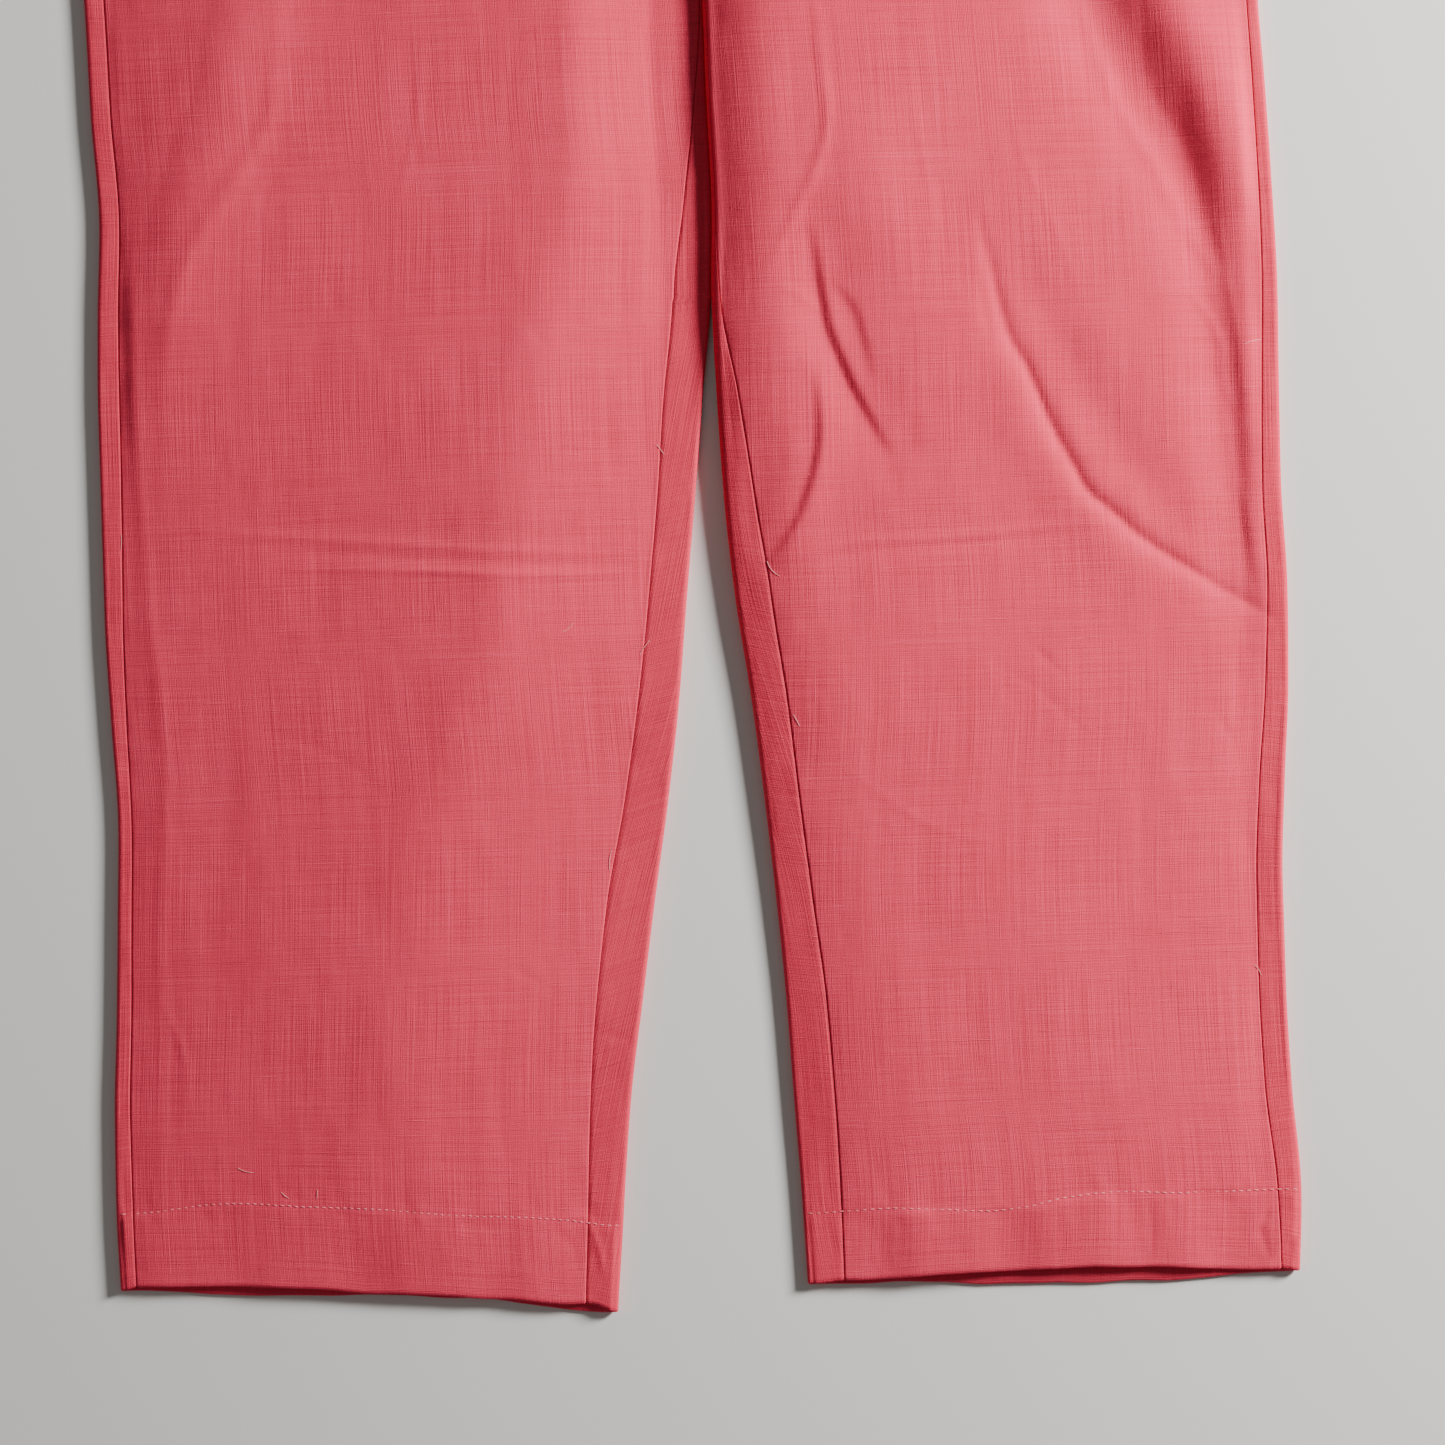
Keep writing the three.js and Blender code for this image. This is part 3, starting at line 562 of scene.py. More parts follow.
def curved(path, steps=5):
    """The path's points with more between them, on a smooth curve through them."""
    points = np.array(path, float)
    if len(points) < 3:
        return points
    ends = np.vstack([2 * points[0] - points[1], points, 2 * points[-1] - points[-2]])
    curve = []
    for i in range(1, len(ends) - 2):
        a, b, c, d = ends[i - 1 : i + 3]
        for t in np.arange(steps) / steps:
            linear = (c - a) * t
            square = (2 * a - 5 * b + 4 * c - d) * t**2
            cube = (3 * b - a - 3 * c + d) * t**3
            curve.append(0.5 * (2 * b + linear + square + cube))
    return np.array(curve + [points[-1]])


def path_distance(x, y, points):
    """Signed distance to a path, positive to its right, and the place along it from 0 to 1."""
    steps = np.hypot(*np.diff(points, axis=0).T)
    starts = np.concatenate([[0], np.cumsum(steps)])
    nearest = np.full(x.shape, np.inf)
    signed = np.zeros(x.shape)
    place = np.zeros(x.shape)
    for i, length in enumerate(steps):
        (ax, ay), (bx, by) = points[i], points[i + 1]
        dx, dy = (bx - ax) / length, (by - ay) / length
        t = np.clip((x - ax) * dx + (y - ay) * dy, 0, length)
        away = np.hypot(x - ax - dx * t, y - ay - dy * t)
        side = np.where((x - ax) * dy - (y - ay) * dx >= 0, 1.0, -1.0)
        nearer = away < nearest
        nearest = np.where(nearer, away, nearest)
        signed = np.where(nearer, away * side, signed)
        place = np.where(nearer, (starts[i] + t) / starts[-1], place)
    return signed, place


def crease_height(x, y):
    x, y = np.broadcast_arrays(x, y)
    height = np.zeros(x.shape)
    for seed, (shape, rise, wide, path) in enumerate(CREASES):
        points = curved(path)
        reach = CREASE_REACH * wide
        low = points.min(axis=0) - reach
        high = points.max(axis=0) + reach
        near = (x > low[0]) & (x < high[0]) & (y > low[1]) & (y < high[1])
        if not near.any():
            continue
        off, along = path_distance(x[near], y[near], points)
        taper = np.sin(np.pi * clamp01(along)) ** CREASE_TAPER
        waver = 1 + CREASE_UNEVEN * uneven(along * CREASE_WAVES, 0 * along, 1, 1, seed)
        width = wide * (CREASE_END + (1 - CREASE_END) * taper) * waver
        if shape == "valley":
            profile = -np.exp(-((np.abs(off) / width) ** VALLEY_SHARPNESS))
        elif shape == "ridge":
            profile = bell(off / width)
        else:
            profile = np.tanh(off / (STEP_SLOPE * width)) * bell(off / (STEP_FADE * width))
        height[near] += rise * taper * profile
    return height


def gather_strength(across, y, longest):
    quick = np.sin(WANDER_QUICK * across * GATHERS + WANDER_START)
    wander = quick * np.cos(WANDER_SLOW * across * GATHERS)
    own = 1 - GATHER_UNEVEN * (1 - wander)
    below = (WAIST_SEAM - y) / (longest * own)
    return smooth(1 - below) * mix(PINCHED, 1, smooth((WAIST_SEAM - y) / GATHER_PINCH))


def section_at(leg, y):
    """The numbers of a leg's section at each height in y."""
    part = SimpleNamespace(leg=leg, y=y)
    for column, name in enumerate(COLUMNS[1:], 1):
        setattr(part, name, read(leg.sections, column, y))
    part.joined = y > CROTCH
    part.out_radius = mix(EDGE_RADIUS, WAIST_RADIUS, smooth((y - FLARE_START) / FLARE_LENGTH))
    part.in_radius = np.where(part.joined, TINY, part.round)
    part.in_strip = np.where(part.joined, 0, part.in_strip)
    if leg is LEFT:
        part.inner = np.where(y > LEGS_MEET, beside_right(y, part.round), part.inner)
    part.inner = np.where(part.joined, -leg.sense * SEAM_GAP / 2, part.inner)
    part.width = np.abs(part.inner - part.outer)
    part.out_turn = part.out_radius * math.pi / 2
    part.in_turn = part.in_radius * math.pi / 2
    part.total = part.out_turn + part.in_turn + part.width - part.out_radius - part.in_radius
    return part


def beside_right(y, radius):
    """Where the left leg's inner edge ends so that its fold clears the right leg's."""
    edge = read(RIGHT.sections, COLUMNS.index("inner"), y)
    bend = read(RIGHT.sections, COLUMNS.index("round"), y)
    reach = radius + bend + LEG_CLEARANCE
    return edge + bend + radius - np.sqrt(reach**2 - (bend - radius) ** 2)


def lower_of(a, b, soft):
    """The lower of two heights, with the corner between them rounded."""
    near = np.maximum(0, soft - np.abs(a - b))
    return np.minimum(a, b) - near**2 / (4 * soft)


def top_height(part, p):
    """Height of the cloth's upper face at distance p from the leg's outer edge, in its large forms."""
    from_outer = np.maximum(0, p - np.maximum(part.out_strip, part.out_radius))
    dip = np.where(part.joined, 1 - smooth((part.y - CROTCH) / CROTCH_RISE), 1.0)
    from_inner = np.maximum(0, part.width - p - part.round * dip)
    across = clamp01(p / part.width)
    outer_side = 2 * part.out_radius + part.out_slope * from_outer
    inner_side = 2 * part.round + part.in_slope * np.maximum(0, from_inner - part.in_flat)
    inner_side = inner_side + (1 - dip) * JOINED_RISE
    middle = mix(part.out_height, part.in_height, across)
    base = lower_of(lower_of(middle, outer_side, OUT_SOFT), inner_side, part.leg.in_soft)
    base = np.maximum(base, 2 * mix(part.out_radius, part.round, smooth(across)) - EDGE_SAG)
    x = part.outer + part.leg.sense * p
    calm = smooth(from_outer / EDGE_CALM) * mix(1, smooth(from_inner / EDGE_CALM), dip)
    room = smooth((base - LOW_CLOTH) / LOW_BLEND)
    strength = gather_strength(across, part.y, GATHER_LENGTH)
    wave = GATHER_RISE / 2 * strength * np.cos(2 * math.pi * GATHERS * across)
    return base + calm * room * (fold_height(x, part.y) + wave)


def back_lift(part, p):
    """How far the back's gathers lift it off the surface."""
    across = clamp01(p / part.width)
    strength = gather_strength(across, part.y, BACK_GATHER_LENGTH)
    calm = smooth((p - part.out_radius) / EDGE_CALM)
    wave = 1 - np.cos(2 * math.pi * GATHERS * across)
    return LIFT + BACK_GATHER_RISE / 2 * strength * calm * wave


def strip_length(width, radius):
    """The way round from an edge's outermost point to where a strip of this width ends."""
    on_arc = radius * np.arccos(np.clip(1 - width / radius, -1, 1))
    return np.where(width < radius, on_arc, radius * math.pi / 2 + width - radius)


def ring(part, way):
    """The outer face at a way round a section, as x and z. It is negative over the outer strip,
    0 at the outer edge, then goes along the surface to the inner edge and back over that strip."""
    past = way > part.total
    s = np.where(way < 0, -way, np.where(past, 2 * part.total - way, way))
    over = (way < 0) | past
    up = np.where(over, 1.0, -1.0)
    a_out = np.clip(s / part.out_radius, 0, math.pi / 2)
    a_in = np.clip((part.total - s) / part.in_radius, 0, math.pi / 2)
    at_out = s < part.out_turn
    at_in = s > part.total - part.in_turn
    flat = part.out_radius + s - part.out_turn
    p = np.where(at_out, part.out_radius * (1 - np.cos(a_out)), flat)
    p = np.where(at_in, part.width - part.in_radius * (1 - np.cos(a_in)), p)
    z = np.where(over, top_height(part, flat), back_lift(part, flat))
    z = np.where(at_out, part.out_radius * (1 + up * np.sin(a_out)) + (1 - over) * LIFT, z)
    bend = part.in_radius * (1 + up * np.sin(a_in)) + (1 - over) * LIFT
    z = np.where(at_in & ~part.joined, bend, z)
    return part.outer + part.leg.sense * p, z


def lip(distance):
    """How far an edge turns down into its seam at this distance from it."""
    t = clamp01(1 - distance / LIP_WIDTH)
    return LIP_DEPTH * (1 - np.sqrt(1 - LIP_STEEP * t**2))


def hem_drop(node, x, y):
    wander = HEM_WANDER * uneven(x, 0 * x, HEM_WANDER_PITCH, 1, len(node))
    return (1 - smooth(y / HEM_BLEND)) * (line_height(HEMS[node], x) + wander)


def hem_relief(leg, x, y):
    """The hem's stitch line, drawn into the cloth, with small puckers and the turned edge's step."""
    off = y - line_height(HEM_STITCHES[leg.front], x)
    pull = 1 - STITCH_PULL + STITCH_PULL * np.cos(2 * math.pi * x / STITCH_PITCH)
    line = -STITCH_DEPTH * pull * bell(off / STITCH_REACH)
    pucker = pattern("hem_pucker", x, y) + pattern("wide_pucker", x, y)
    beside = bell(off / PUCKER_REACH) * (1 - bell(off / PUCKER_START))
    layered = TURN_STEP * (1 - smooth((off - TURN_EDGE) / TURN_BLEND))
    near = 1 - smooth((y - HEM_RELIEF_TOP) / HEM_RELIEF_FADE)
    below = smooth((HEM_WAVE_TOP - off) / HEM_WAVE_BLEND)
    waves = HEM_WAVE * uneven(x + HEM_WAVE_LEAN * y, 0 * y, HEM_WAVE_PITCH, 1, HEM_WAVE_SEED) * below
    return near * (line + PUCKER * pucker * beside + layered + waves)


def relief(leg, x, y, from_seam):
    """What the finer forms add to the cloth on top: creases, hem, seams and small unevenness."""
    height = crease_height(x, y) + hem_relief(leg, x, y)
    height += pattern("large", x, y) + pattern("middle", x, y)
    height += pattern("fine", x, y)
    along = sum(
        strength * uneven(0 * y, y, 1, pitch, seed + leg.sense) for strength, pitch, seed in SEAM_WAVES
    )
    return height + SEAM_RISE * along * np.exp(-from_seam / SEAM_REACH)


def stations():
    """Heights of the mesh rows: close together in the lower part and at the waist seam."""
    lower = np.linspace(0, FINE_END, FINE_ROWS, endpoint=False)
    upper = np.linspace(FINE_END, WAIST_SEAM - SEAM_ROWS[0], COARSE_ROWS, endpoint=False)
    seam = WAIST_SEAM - np.array(SEAM_ROWS)
    return np.concatenate([lower, upper, seam])[:, None]


def spread(keys, counts, crowded=False):
    """Ways across a row: counts steps between neighbouring keys, closer at the first if crowded."""
    ways = [keys[0]]
    for i, count in enumerate(counts):
        t = np.arange(1, count + 1) / count
        if crowded and i == 0:
            t = t**2
        ways.append(mix(keys[i], keys[i + 1], t[None, :]))
    return np.concatenate([np.broadcast_to(way, (len(keys[0]), way.shape[1])) for way in ways], axis=1)


def front_panel(leg):
    y = stations()
    part = section_at(leg, y)
    start = strip_length(part.out_strip, part.out_radius) + SEAM_GAP / 2
    strip = strip_length(part.in_strip, part.in_radius) + SEAM_GAP / 2
    end = np.where(part.joined, part.total, part.total - strip)
    edge = np.array(EDGE_COLUMNS)[None, :]
    inset = EDGE_COLUMNS[-1]
    middle = np.linspace(0, 1, FRONT_COLUMNS + 1)[None, 1:-1]
    between = mix(start + inset, end - inset, middle)
    s = np.concatenate([start + edge, between, end - edge[:, ::-1]], axis=1)
    x, z = ring(part, -s)
    beyond = s > part.total - part.in_turn
    from_seam = np.minimum(s - start, end - s)
    real_y = y + hem_drop(leg.front, x, y)
    raised = relief(leg, x, real_y, from_seam) * np.where(beyond, FOLDED_RELIEF, 1.0)
    z = z + raised - lip(from_seam) - lip(WAIST_SEAM - BAND_GAP - y)
    points = np.stack([x, real_y, z], axis=2)
    cut = np.stack([s + 0 * y, y + 0 * s, 0 * (s + y)], axis=2)
    return points, cut, hem_wall(y + 0 * s), leg.sense


def back_panel(leg):
    """The back: over the outer strip, round the edge, along the surface and up to the inseam."""
    y = stations()
    part = section_at(leg, y)
    out_end = strip_length(part.out_strip, part.out_radius) - SEAM_GAP / 2
    in_end = strip_length(part.in_strip, part.in_radius) - SEAM_GAP / 2
    out_top = np.minimum(part.out_turn, STRIP_SHARE * out_end)
    in_top = np.minimum(part.in_turn, STRIP_SHARE * in_end)
    # Above the crotch the last columns lie on the surface, beside the middle seam
    keys = [
        -out_end,
        -out_top,
        part.out_turn,
        np.where(part.joined, part.total - 2, part.total - part.in_turn),
        np.where(part.joined, part.total - 1, part.total + in_top),
        np.where(part.joined, part.total, part.total + in_end),
    ]
    way = spread(keys, BACK_COLUMNS, crowded=True)
    x, z = ring(part, way)
    # On a strip the hem runs over to the front's, which it meets at the seam
    share = np.maximum(-way / out_end, (way - part.total) / np.maximum(in_end, 1))
    real_y = y + mix(hem_drop(leg.back, x, y), hem_drop(leg.front, x, y), smooth(share))
    on_outer = smooth((-way - part.out_turn) / STRIP_BLEND)
    on_inner = np.where(part.joined, 0, smooth((way - part.total - part.in_turn) / STRIP_BLEND))
    from_seam = np.minimum(way + out_end, keys[-1] - way)
    on_top = np.maximum(on_outer, on_inner)
    z = z + relief(leg, x, real_y, from_seam) * on_top
    z = z - lip(from_seam) * ((way < 0) | (on_inner > 0)) - lip(WAIST_SEAM - BAND_GAP - y) * (way < 0)
    z = np.maximum(z, LIFT)
    points = np.stack([x, real_y, z], axis=2)
    # The grain on a strip leans twice as far as the folded edge that it lies beside
    lean_out = np.gradient(part.outer[:, 0], y[:, 0])[:, None]
    lean_in = np.gradient(np.where(part.joined, 0, part.inner)[:, 0], y[:, 0])[:, None]
    lean_in = np.clip(lean_in, -LEAN_LIMIT, LEAN_LIMIT) * leg.sense
    shift = -2 * lean_out * np.maximum(0, -way) + 2 * lean_in * np.maximum(0, way - part.total)
    cut = np.stack([way + BACK_WEAVE_PLACE, y + shift, 0 * way], axis=2)
    return points, cut, hem_wall(y + 0 * way), -leg.sense


def hem_wall(y):
    return CLOTH + HEM_TURN * (1 - smooth((y - HEM_DEPTH) / HEM_STEP))


def band_panel(back):
    """Half of the waistband: a casing gathered into uneven ribs, drawn in along its stitch rows."""
    y = np.linspace(WAIST_SEAM + BAND_GAP, BAND_TOP, BAND_ROWS)[:, None]
    turn = BAND_RADIUS * math.pi / 2
    total = 2 * turn + 2 * (BAND_HALF - BAND_RADIUS)
    seam = turn + BAND_STRIP - BAND_RADIUS
    if back:
        first = -seam + BAND_GAP
        last = total + seam - BAND_GAP
        keys = np.array([first, -turn, turn, total - turn, total + turn, last])
        counts = BAND_COLUMNS
    else:
        keys = np.array([seam + BAND_GAP, total - seam - BAND_GAP])
        counts = [sum(BAND_COLUMNS)]
    way = spread([key + 0 * y for key in keys], counts)
    past = way > total
    s = np.where(way < 0, -way, np.where(past, 2 * total - way, way))
    over = ((way < 0) | past) if back else np.ones(way.shape, bool)
    near = np.minimum(s, total - s)
    angle = np.clip(near / BAND_RADIUS, 0, math.pi / 2)
    up = np.where(over, 1.0, -1.0)
    p = np.where(near < turn, BAND_RADIUS * (1 - np.cos(angle)), BAND_RADIUS + near - turn)
    x = np.where(s > total / 2, 1, -1) * (BAND_HALF - p)
    flat = np.where(over, band_height(p), LIFT)
    z = np.where(near < turn, BAND_RADIUS * (1 + up * np.sin(angle)) + (1 - over) * LIFT, flat)
    calm = smooth((p - BAND_RADIUS) / BAND_CALM)
    groove = band_groove(x, y, p) * calm
    z = np.where(over, z - groove, np.maximum(z + BACK_GROOVE * groove, LIFT))
    from_seam = seam - near if back else s - seam
    drop = lip(np.abs(from_seam)) + lip(y - WAIST_SEAM - BAND_GAP)
    z = z - drop * over
    points = np.stack([x, y + 0 * x, np.maximum(z, LIFT)], axis=2)
    cut = np.stack([way * BAND_WEAVE_STRETCH + BAND_WEAVE_PLACE, y + 0 * way, 0 * way], axis=2)
    return points, cut, np.full(way.shape, BAND_WALL), -1 if back else 1


def band_height(p):
    """Height of the waistband's top at distance p from its side, without its ribs."""
    return mix(2 * BAND_RADIUS, BAND_CROWN, smooth((p - BAND_STRIP) / BAND_RUN))


def band_groove(x, y, p):
    """Depth of the ribs, shallower at the band's edges, and of the grooves along its stitch rows."""
    drift = pattern("rib_drift", x, y)
    phase = BAND_RIBS * p / (2 * BAND_HALF) + drift + pattern("rib_waver", x, y)
    depth = BAND_GROOVE * (RIB_LEAST + pattern("rib_depth", x, y))
    rib = depth * (0.5 - 0.5 * np.cos(2 * math.pi * phase)) ** RIB_SHARPNESS
    fine = RIB_FINE * (1 + pattern("rib_fine", x, y))
    rows = sum(bell((y - row) / ROW_WIDTH) for row in BAND_STITCH_ROWS)
    edge = np.exp(-((BAND_TOP - y) / BAND_TOP_CALM)) + np.exp(-((y - WAIST_SEAM) / BAND_SEAM_CALM))
    return (rib + fine) * (1 - BAND_EDGE_SHARE * clamp01(edge)) + ROW_DEPTH * rows


def grid_normals(points):
    normals = np.cross(np.gradient(points, axis=1), np.gradient(points, axis=0))
    return normals / np.maximum(np.linalg.norm(normals, axis=2, keepdims=True), 1e-9)


def loop_of(indices):
    """The border of a grid of indices, in order, as its four sides."""
    return [indices[0, :], indices[:, -1], indices[-1, ::-1], indices[::-1, 0]]


def shell(name, points, cut, wall, outward, material):
    """A closed thin wall on a grid of outer points, with a coarser inside and a rounded hem edge."""
    rows = (points.shape[0] - 1) // INSIDE_ROWS * INSIDE_ROWS + 1
    columns = (points.shape[1] - 1) // INSIDE_COLUMNS * INSIDE_COLUMNS + 1
    if (rows, columns) != points.shape[:2]:
        raise ValueError(f"{name}: a grid of {points.shape[:2]} can't be thinned evenly for its inside")
    normals = grid_normals(points) * outward
    inside = points - normals * wall[..., None]
    rim = (points + inside) / 2
    rim[0, :, 1] -= wall[0] / 2
    rim[-1, :, 1] += wall[-1] / 2 * (points[-1, 0, 1] > BAND_TOP - 1)
    outer_index = np.arange(rows * columns).reshape(rows, columns)
    rim_sides = loop_of(outer_index)
    rim_order = np.concatenate([side[:-1] for side in rim_sides])
    coarse = inside[::INSIDE_ROWS, ::INSIDE_COLUMNS]
    inner_index = np.arange(coarse.shape[0] * coarse.shape[1]).reshape(coarse.shape[:2])
    inner_index = inner_index + rows * columns + len(rim_order)
    vertices = np.vstack([points.reshape(-1, 3), rim.reshape(-1, 3)[rim_order], coarse.reshape(-1, 3)])
    cuts = np.vstack([
        cut.reshape(-1, 3), cut.reshape(-1, 3)[rim_order],
        cut[::INSIDE_ROWS, ::INSIDE_COLUMNS].reshape(-1, 3),
    ])
    faces = grid_faces(outer_index, False) + grid_faces(inner_index, True)
    rim_index = {old: rows * columns + i for i, old in enumerate(rim_order)}
    for dense, few in zip(rim_sides, loop_of(inner_index)):
        faces += rim_faces(list(dense), [rim_index[i] for i in dense], list(few))
    if outward < 0:
        faces = [face[::-1] for face in faces]
    return make_mesh(name, vertices, faces, material, cuts)


def grid_faces(index, turned):
    corners = [index[:-1, :-1], index[:-1, 1:], index[1:, 1:], index[1:, :-1]]
    quads = np.stack(corners, axis=2).reshape(-1, 4)
    return (quads[:, ::-1] if turned else quads).tolist()


def rim_faces(outer, middle, inner):
    """The faces of one side of the rim, from the outer border to the rounded middle to the inside."""
    faces = []
    for i in range(len(outer) - 1):
        faces.append([outer[i + 1], outer[i], middle[i], middle[i + 1]])
    step = (len(middle) - 1) // (len(inner) - 1)
    for j in range(len(inner) - 1):
        half = j * step + step // 2
        for i in range(j * step, (j + 1) * step):
            faces.append([middle[i + 1], middle[i], inner[j] if i < half else inner[j + 1]])
        faces.append([inner[j], inner[j + 1], middle[half]])
    return faces


def add_object(name, data):
    added = bpy.data.objects.new(name, data)
    bpy.context.scene.collection.objects.link(added)
    return added


def make_mesh(name, vertices, faces, material, cuts=None):
    mesh = bpy.data.meshes.new(name)
    placed = np.array(vertices, float)
    placed[:, 1] += SHIFT_Y
    mesh.from_pydata((placed * MM).tolist(), [], faces)
    mesh.shade_smooth()
    mesh.set_sharp_from_angle(angle=math.radians(SHARP_ANGLE))
    if cuts is not None:
        attribute = mesh.attributes.new("cut", "FLOAT_VECTOR", "POINT")
        attribute.data.foreach_set("vector", np.asarray(cuts, np.float32).ravel())
    mesh.materials.append(material)
    piece = add_object(name, mesh)
    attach(piece, "root")
    return piece


def surface(leg, x, y):
    """A point of the cloth on top at (x, y), in its finest form."""
    station = y - hem_drop(leg.front, x, y)
    part = section_at(leg, station)
    p = np.abs(x - part.outer)
    start = part.out_strip
    end = part.width - part.in_strip
    from_seam = np.minimum(np.abs(p - start), np.abs(end - p))
    z = top_height(part, p) + relief(leg, x, y, from_seam) - lip(from_seam)
    return np.stack([x, y, z], axis=-1)


def stitch_mesh(name, starts, ends, material):
    """A row of stitches as one mesh. Each is a short soft bar that dips into the cloth at both ends."""
    up = np.array([0.0, 0.0, 1.0])
    sides = 6
    around = 2 * math.pi * np.arange(sides) / sides
    vertices = []
    faces = []
    for start, end in zip(starts, ends):
        first = len(vertices)
        centre = (start + end) / 2
        half = (end - start) / 2
        side = np.cross(up, half)
        side /= np.linalg.norm(side)
        vertices.append(start - up * STITCH_HIGH * STITCH_DIP)
        for u, girth in STITCH_RINGS:
            middle = centre + half * u + up * STITCH_HIGH * (STITCH_RISE - STITCH_BOW * u * u)
            for a in around:
                out = side * STITCH_WIDE * math.cos(a) + up * STITCH_HIGH * math.sin(a)
                vertices.append(middle + girth * out)
        vertices.append(end - up * STITCH_HIGH * STITCH_DIP)
        last = len(vertices) - 1
        for k in range(sides):
            n = (k + 1) % sides
            faces.append([first, first + 1 + n, first + 1 + k])
            for r in range(len(STITCH_RINGS) - 1):
                a = first + 1 + r * sides
                faces.append([a + k, a + n, a + n + sides, a + k + sides])
            faces.append([last, last - sides + k, last - sides + n])
    return make_mesh(name, vertices, faces, material)


def hem_stitches(leg, material):
    """The hem's row of stitches, on the front and the strips beside it."""
    part = section_at(leg, np.array([HEM_STITCH_STATION]))
    inset = leg.sense * HEM_STITCH_INSET
    x0 = part.outer[0] + inset
    x1 = part.inner[0] - inset
    count = int(abs(x1 - x0) / leg.stitch)
    places = np.linspace(x0, x1, count + 1)
    lean = HEM_STITCH_LEAN * uneven(places * HEM_LEAN_RATE, 0 * places, 1, 1, HEM_LEAN_SEED)
    gap = leg.stitch * HEM_STITCH_REST * leg.sense
    a = places[:-1] + gap
    b = places[1:] - gap
    ya = line_height(HEM_STITCHES[leg.front], a) + lean[:-1]
    yb = line_height(HEM_STITCHES[leg.front], b) + lean[1:]
    starts = surface(leg, a, ya)
    ends = surface(leg, b, yb)
    return stitch_mesh(leg.front + "_hem_stitches", starts, ends, material)


def band_stitches(back, material):
    """The two rows of stitches that hold the elastic's casing."""
    name = "waistband_back" if back else "waistband_front"
    starts = []
    ends = []
    reach = BAND_HALF - BAND_STRIP - BAND_STITCH_INSET
    count = int(2 * reach / BAND_STITCH)
    places = np.linspace(-reach, reach, count + 1)
    for number, row in enumerate(BAND_STITCH_ROWS):
        lean = uneven(places * BAND_LEAN_RATE, 0 * places, 1, 1, BAND_LEAN_SEED + number)
        y = row + BAND_STITCH_LEAN * lean
        p = BAND_HALF - np.abs(places)
        z = band_height(p) - band_groove(places, y, p) * smooth((p - BAND_RADIUS) / BAND_CALM)
        row_points = np.stack([places, y, z], axis=1)
        gap = (row_points[1:] - row_points[:-1]) * BAND_STITCH_REST
        starts.append(row_points[:-1] + gap)
        ends.append(row_points[1:] - gap)
    starts = np.concatenate(starts)
    ends = np.concatenate(ends)
    return stitch_mesh(name + "_stitches", starts, ends, material)


def thread_ends(material):
    """Short loose ends of thread that lie on the cloth, each a small bent tube."""
    vertices = []
    faces = []
    rng = np.random.default_rng(THREAD_SEED)
    sides = 5
    steps = 9
    for x, y, length, degrees in THREAD_ENDS:
        leg = LEFT if x < 10 else RIGHT
        turn = math.radians(degrees)
        bend = rng.uniform(-THREAD_BEND, THREAD_BEND)
        t = np.linspace(0, 1, steps)
        angle = turn + bend * t
        px = x + np.concatenate([[0], np.cumsum(np.cos(angle[:-1]))]) * length / (steps - 1)
        py = y + np.concatenate([[0], np.cumsum(np.sin(angle[:-1]))]) * length / (steps - 1)
        path = surface(leg, px, py)
        path[:, 2] += THREAD_REST + THREAD_RISE * np.sin(np.pi * t)
        along = np.gradient(path, axis=0)
        side = np.cross([0, 0, 1], along)
        side /= np.linalg.norm(side, axis=1, keepdims=True)
        first = len(vertices)
        for point, across in zip(path, side):
            for a in 2 * math.pi * np.arange(sides) / sides:
                vertices.append(point + THREAD * (across * math.cos(a) + np.array([0, 0, math.sin(a)])))
        for r in range(steps - 1):
            for k in range(sides):
                a = first + r * sides + k
                b = first + r * sides + (k + 1) % sides
                faces.append([a, b, b + sides, a + sides])
        faces.append([first + k for k in range(sides)][::-1])
        faces.append([first + (steps - 1) * sides + k for k in range(sides)])
    return make_mesh("thread_ends", vertices, faces, material)


def noise(tree, cut, stretch, detail, roughness, place):
    """A noise over the cut's own grid."""
    mapping = tree.nodes.new("ShaderNodeMapping")
    mapping.inputs["Scale"].default_value = (*stretch, 1)
    mapping.inputs["Location"].default_value = (*place, 0)
    tree.links.new(cut.outputs["Vector"], mapping.inputs["Vector"])
    texture = tree.nodes.new("ShaderNodeTexNoise")
    texture.inputs["Scale"].default_value = 1.0
    texture.inputs["Detail"].default_value = detail
    texture.inputs["Roughness"].default_value = roughness
    tree.links.new(mapping.outputs["Vector"], texture.inputs["Vector"])
    return texture.outputs["Factor"] if "Factor" in texture.outputs else texture.outputs["Fac"]


def window(tree, value, low, high):
    """Goes softly from 0 at low to 1 at high."""
    node = tree.nodes.new("ShaderNodeMapRange")
    node.interpolation_type = "SMOOTHSTEP"
    node.inputs["From Min"].default_value = low
    node.inputs["From Max"].default_value = high
    tree.links.new(value, node.inputs["Value"])
    return node.outputs["Result"]


def math_node(tree, operation, *values):
    node = tree.nodes.new("ShaderNodeMath")
    node.operation = operation
    for socket, value in zip(node.inputs, values):
        if isinstance(value, (int, float)):
            socket.default_value = value
        else:
            tree.links.new(value, socket)
    return node


def weighted_sum(tree, layers, weights, total, middle):
    """Adds each layer to the total, times its weight, as it lies above or below middle."""
    for name, weight in weights.items():
        share = math_node(tree, "MULTIPLY_ADD", layers[name], weight, -weight * middle)
        total = math_node(tree, "ADD", total, share.outputs[0]).outputs[0]
    return total


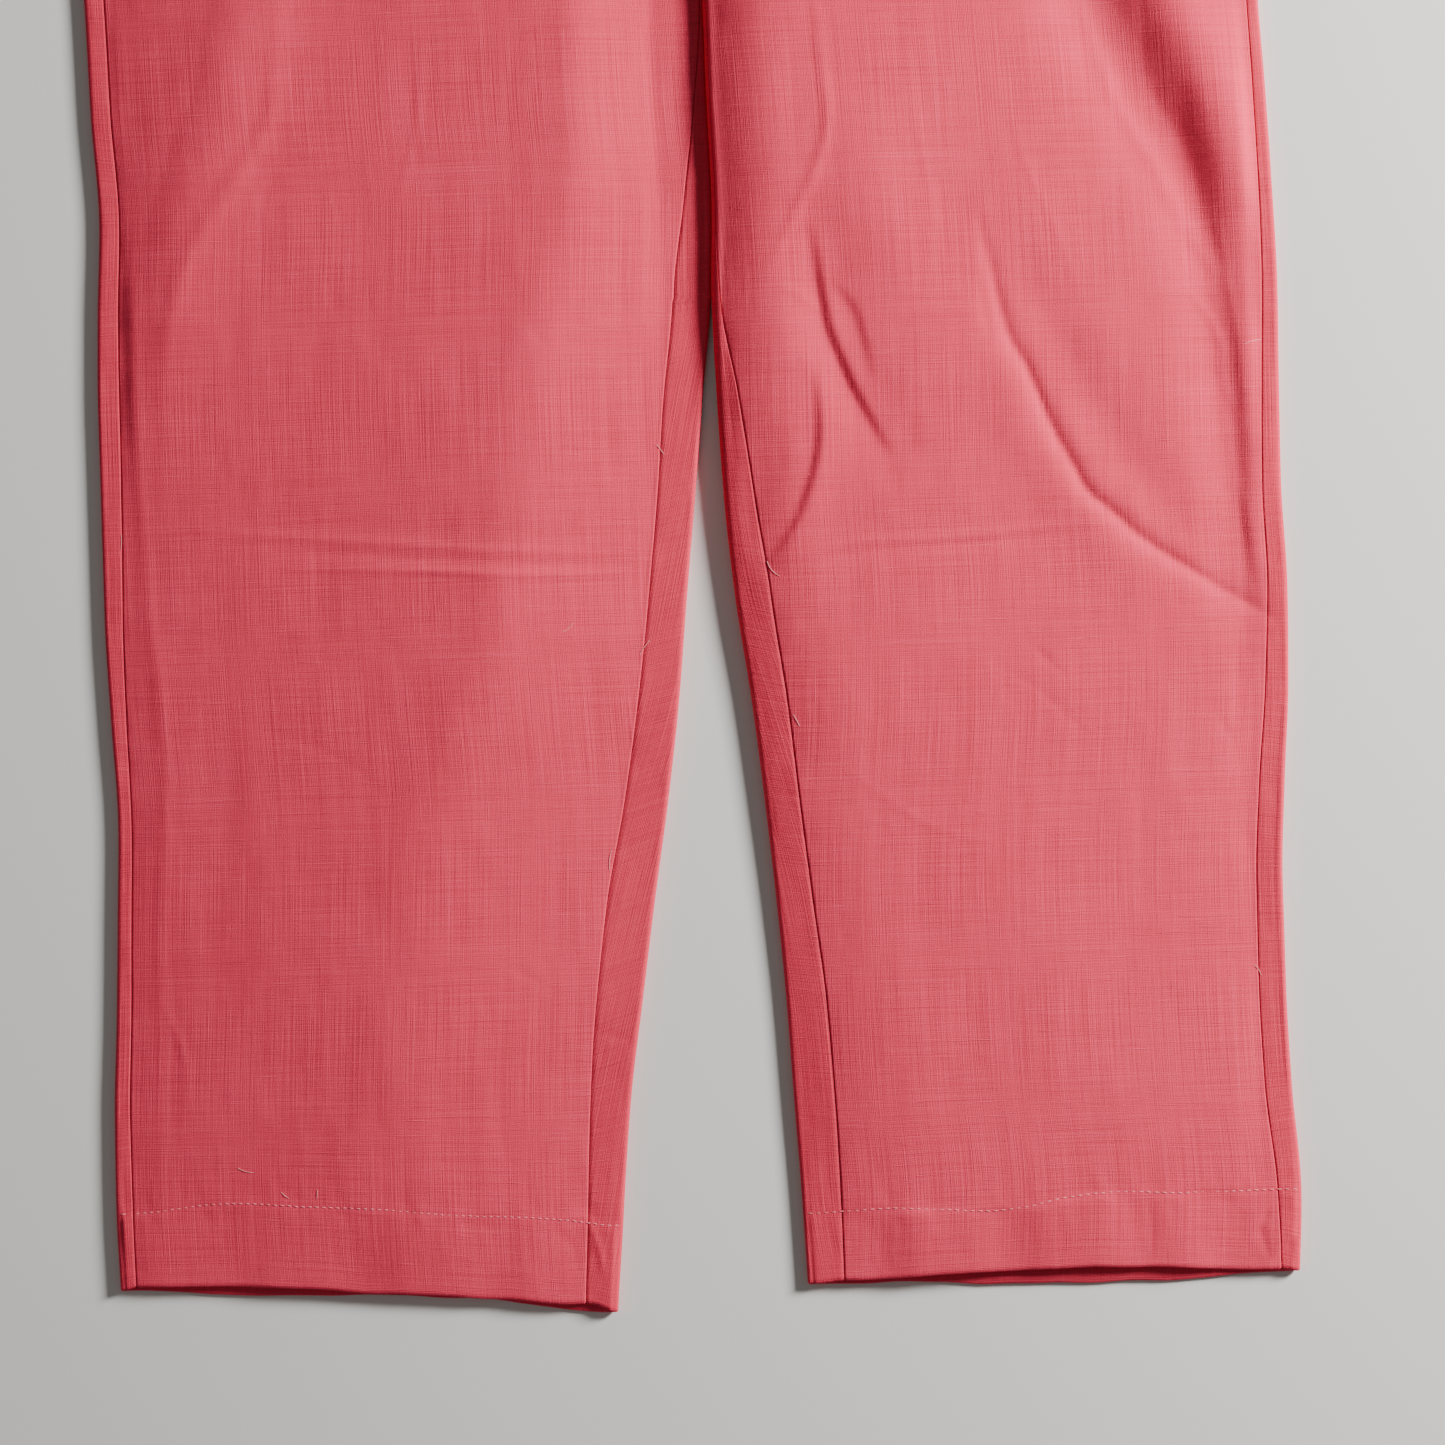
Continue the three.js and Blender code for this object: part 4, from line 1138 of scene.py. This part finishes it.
def cloth_material(name, tone):
    """Plain handloom cotton: warp and weft, broader bands, slubs, dark specks and soft tone."""
    material = plain_material(name, tone, CLOTH_LOOK)
    tree = material.node_tree
    shader = tree.nodes["Principled BSDF"]
    cut = tree.nodes.new("ShaderNodeAttribute")
    cut.attribute_name = "cut"
    layers = {}
    for layer, (stretch, detail, roughness, place, limits) in WEAVE.items():
        layers[layer] = noise(tree, cut, stretch, detail, roughness, place)
        if limits:
            layers[layer] = window(tree, layers[layer], *limits)

    shade = weighted_sum(tree, layers, TONE_WEIGHTS, 0.0, NOISE_MIDDLE)
    shade = weighted_sum(tree, layers, SLUB_WEIGHTS, shade, 0.0)
    level = math_node(tree, "MULTIPLY_ADD", shade, 1.0, TONE_MIDDLE)
    level.use_clamp = True
    ramp = tree.nodes.new("ShaderNodeValToRGB")
    ramp.color_ramp.interpolation = "LINEAR"
    dark = [part * DARK_SHARE for part in tone]
    light = [min(1, part * share) for part, share in zip(tone, LIGHT_SHARE)]
    ramp.color_ramp.elements[0].color = (*dark, 1)
    ramp.color_ramp.elements[1].color = (*light, 1)
    middle = ramp.color_ramp.elements.new(0.5)
    middle.color = (*tone, 1)
    tree.links.new(level.outputs[0], ramp.inputs["Fac"])
    tree.links.new(ramp.outputs["Color"], shader.inputs["Base Color"])

    bump = tree.nodes.new("ShaderNodeBump")
    bump.inputs["Strength"].default_value = BUMP_STRENGTH
    bump.inputs["Distance"].default_value = BUMP_HEIGHT
    tree.links.new(weighted_sum(tree, layers, BUMP_WEIGHTS, 0.0, 0.0), bump.inputs["Height"])
    tree.links.new(bump.outputs["Normal"], shader.inputs["Normal"])
    return material


def plain_material(name, tone, look):
    material = bpy.data.materials.new(name)
    material.use_nodes = True
    shader = material.node_tree.nodes["Principled BSDF"]
    shader.inputs["Base Color"].default_value = (*tone, 1)
    for value_name, value in look.items():
        shader.inputs[value_name].default_value = value
    return material


def add_light(name, place, size, power, colour):
    data = bpy.data.lights.new(name, "AREA")
    data.shape = "SQUARE"
    data.size = size
    data.energy = power
    data.color = colour
    light = add_object(name, data)
    light.location = place
    aim = Vector(LIGHT_AIM) - Vector(place)
    light.rotation_euler = aim.to_track_quat("-Z", "Y").to_euler()


def add_stage():
    mesh = bpy.data.meshes.new("floor")
    half = FLOOR_HALF
    corners = [(-half, -half), (half, -half), (half, half), (-half, half)]
    mesh.from_pydata([(*corner, -FLOOR_DROP) for corner in corners], [], [(0, 1, 2, 3)])
    mesh.materials.append(plain_material("floor_paint", FLOOR_TONE, FLOOR_LOOK))
    add_object("floor", mesh)

    add_light("key", KEY_PLACE, KEY_SIZE, KEY_POWER, KEY_COLOUR)
    add_light("fill", FILL_PLACE, FILL_SIZE, FILL_POWER, FILL_COLOUR)
    world = bpy.data.worlds.new("studio")
    world.use_nodes = True
    background = world.node_tree.nodes["Background"]
    background.inputs["Color"].default_value = WORLD_COLOUR
    background.inputs["Strength"].default_value = WORLD_LIGHT
    bpy.context.scene.world = world

    data = bpy.data.cameras.new("camera")
    data.sensor_width = SENSOR_WIDTH
    data.lens = SENSOR_WIDTH / 2 * VIEW_HEIGHT / (VIEW_WIDTH / 2)
    camera = add_object("camera", data)
    camera.location = (VIEW_CENTRE[0], VIEW_CENTRE[1], VIEW_HEIGHT)
    camera.rotation_euler = (0, 0, math.radians(VIEW_TURN))
    bpy.context.scene.camera = camera


def main():
    front_cloth = cloth_material("front_cotton", FRONT_TONE)
    back_cloth = cloth_material("back_cotton", BACK_TONE)
    band_cloth = cloth_material("band_cotton", BAND_TONE)
    thread = plain_material("sewing_thread", STITCH_TONE, THREAD_LOOK)
    loose = plain_material("loose_thread", LOOSE_TONE, THREAD_LOOK)

    for leg in (LEFT, RIGHT):
        front = shell(leg.front + "_cloth", *front_panel(leg), front_cloth)
        back = shell(leg.back + "_cloth", *back_panel(leg), back_cloth)
        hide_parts(leg.front)
        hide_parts(leg.back)
        stitches = hem_stitches(leg, thread)

    for is_back, name in ((False, "waistband_front"), (True, "waistband_back")):
        band = shell(name + "_cloth", *band_panel(is_back), band_cloth)
        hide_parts(name)
        stitches = band_stitches(is_back, thread)
    thread_ends(loose)
    add_stage()


main()
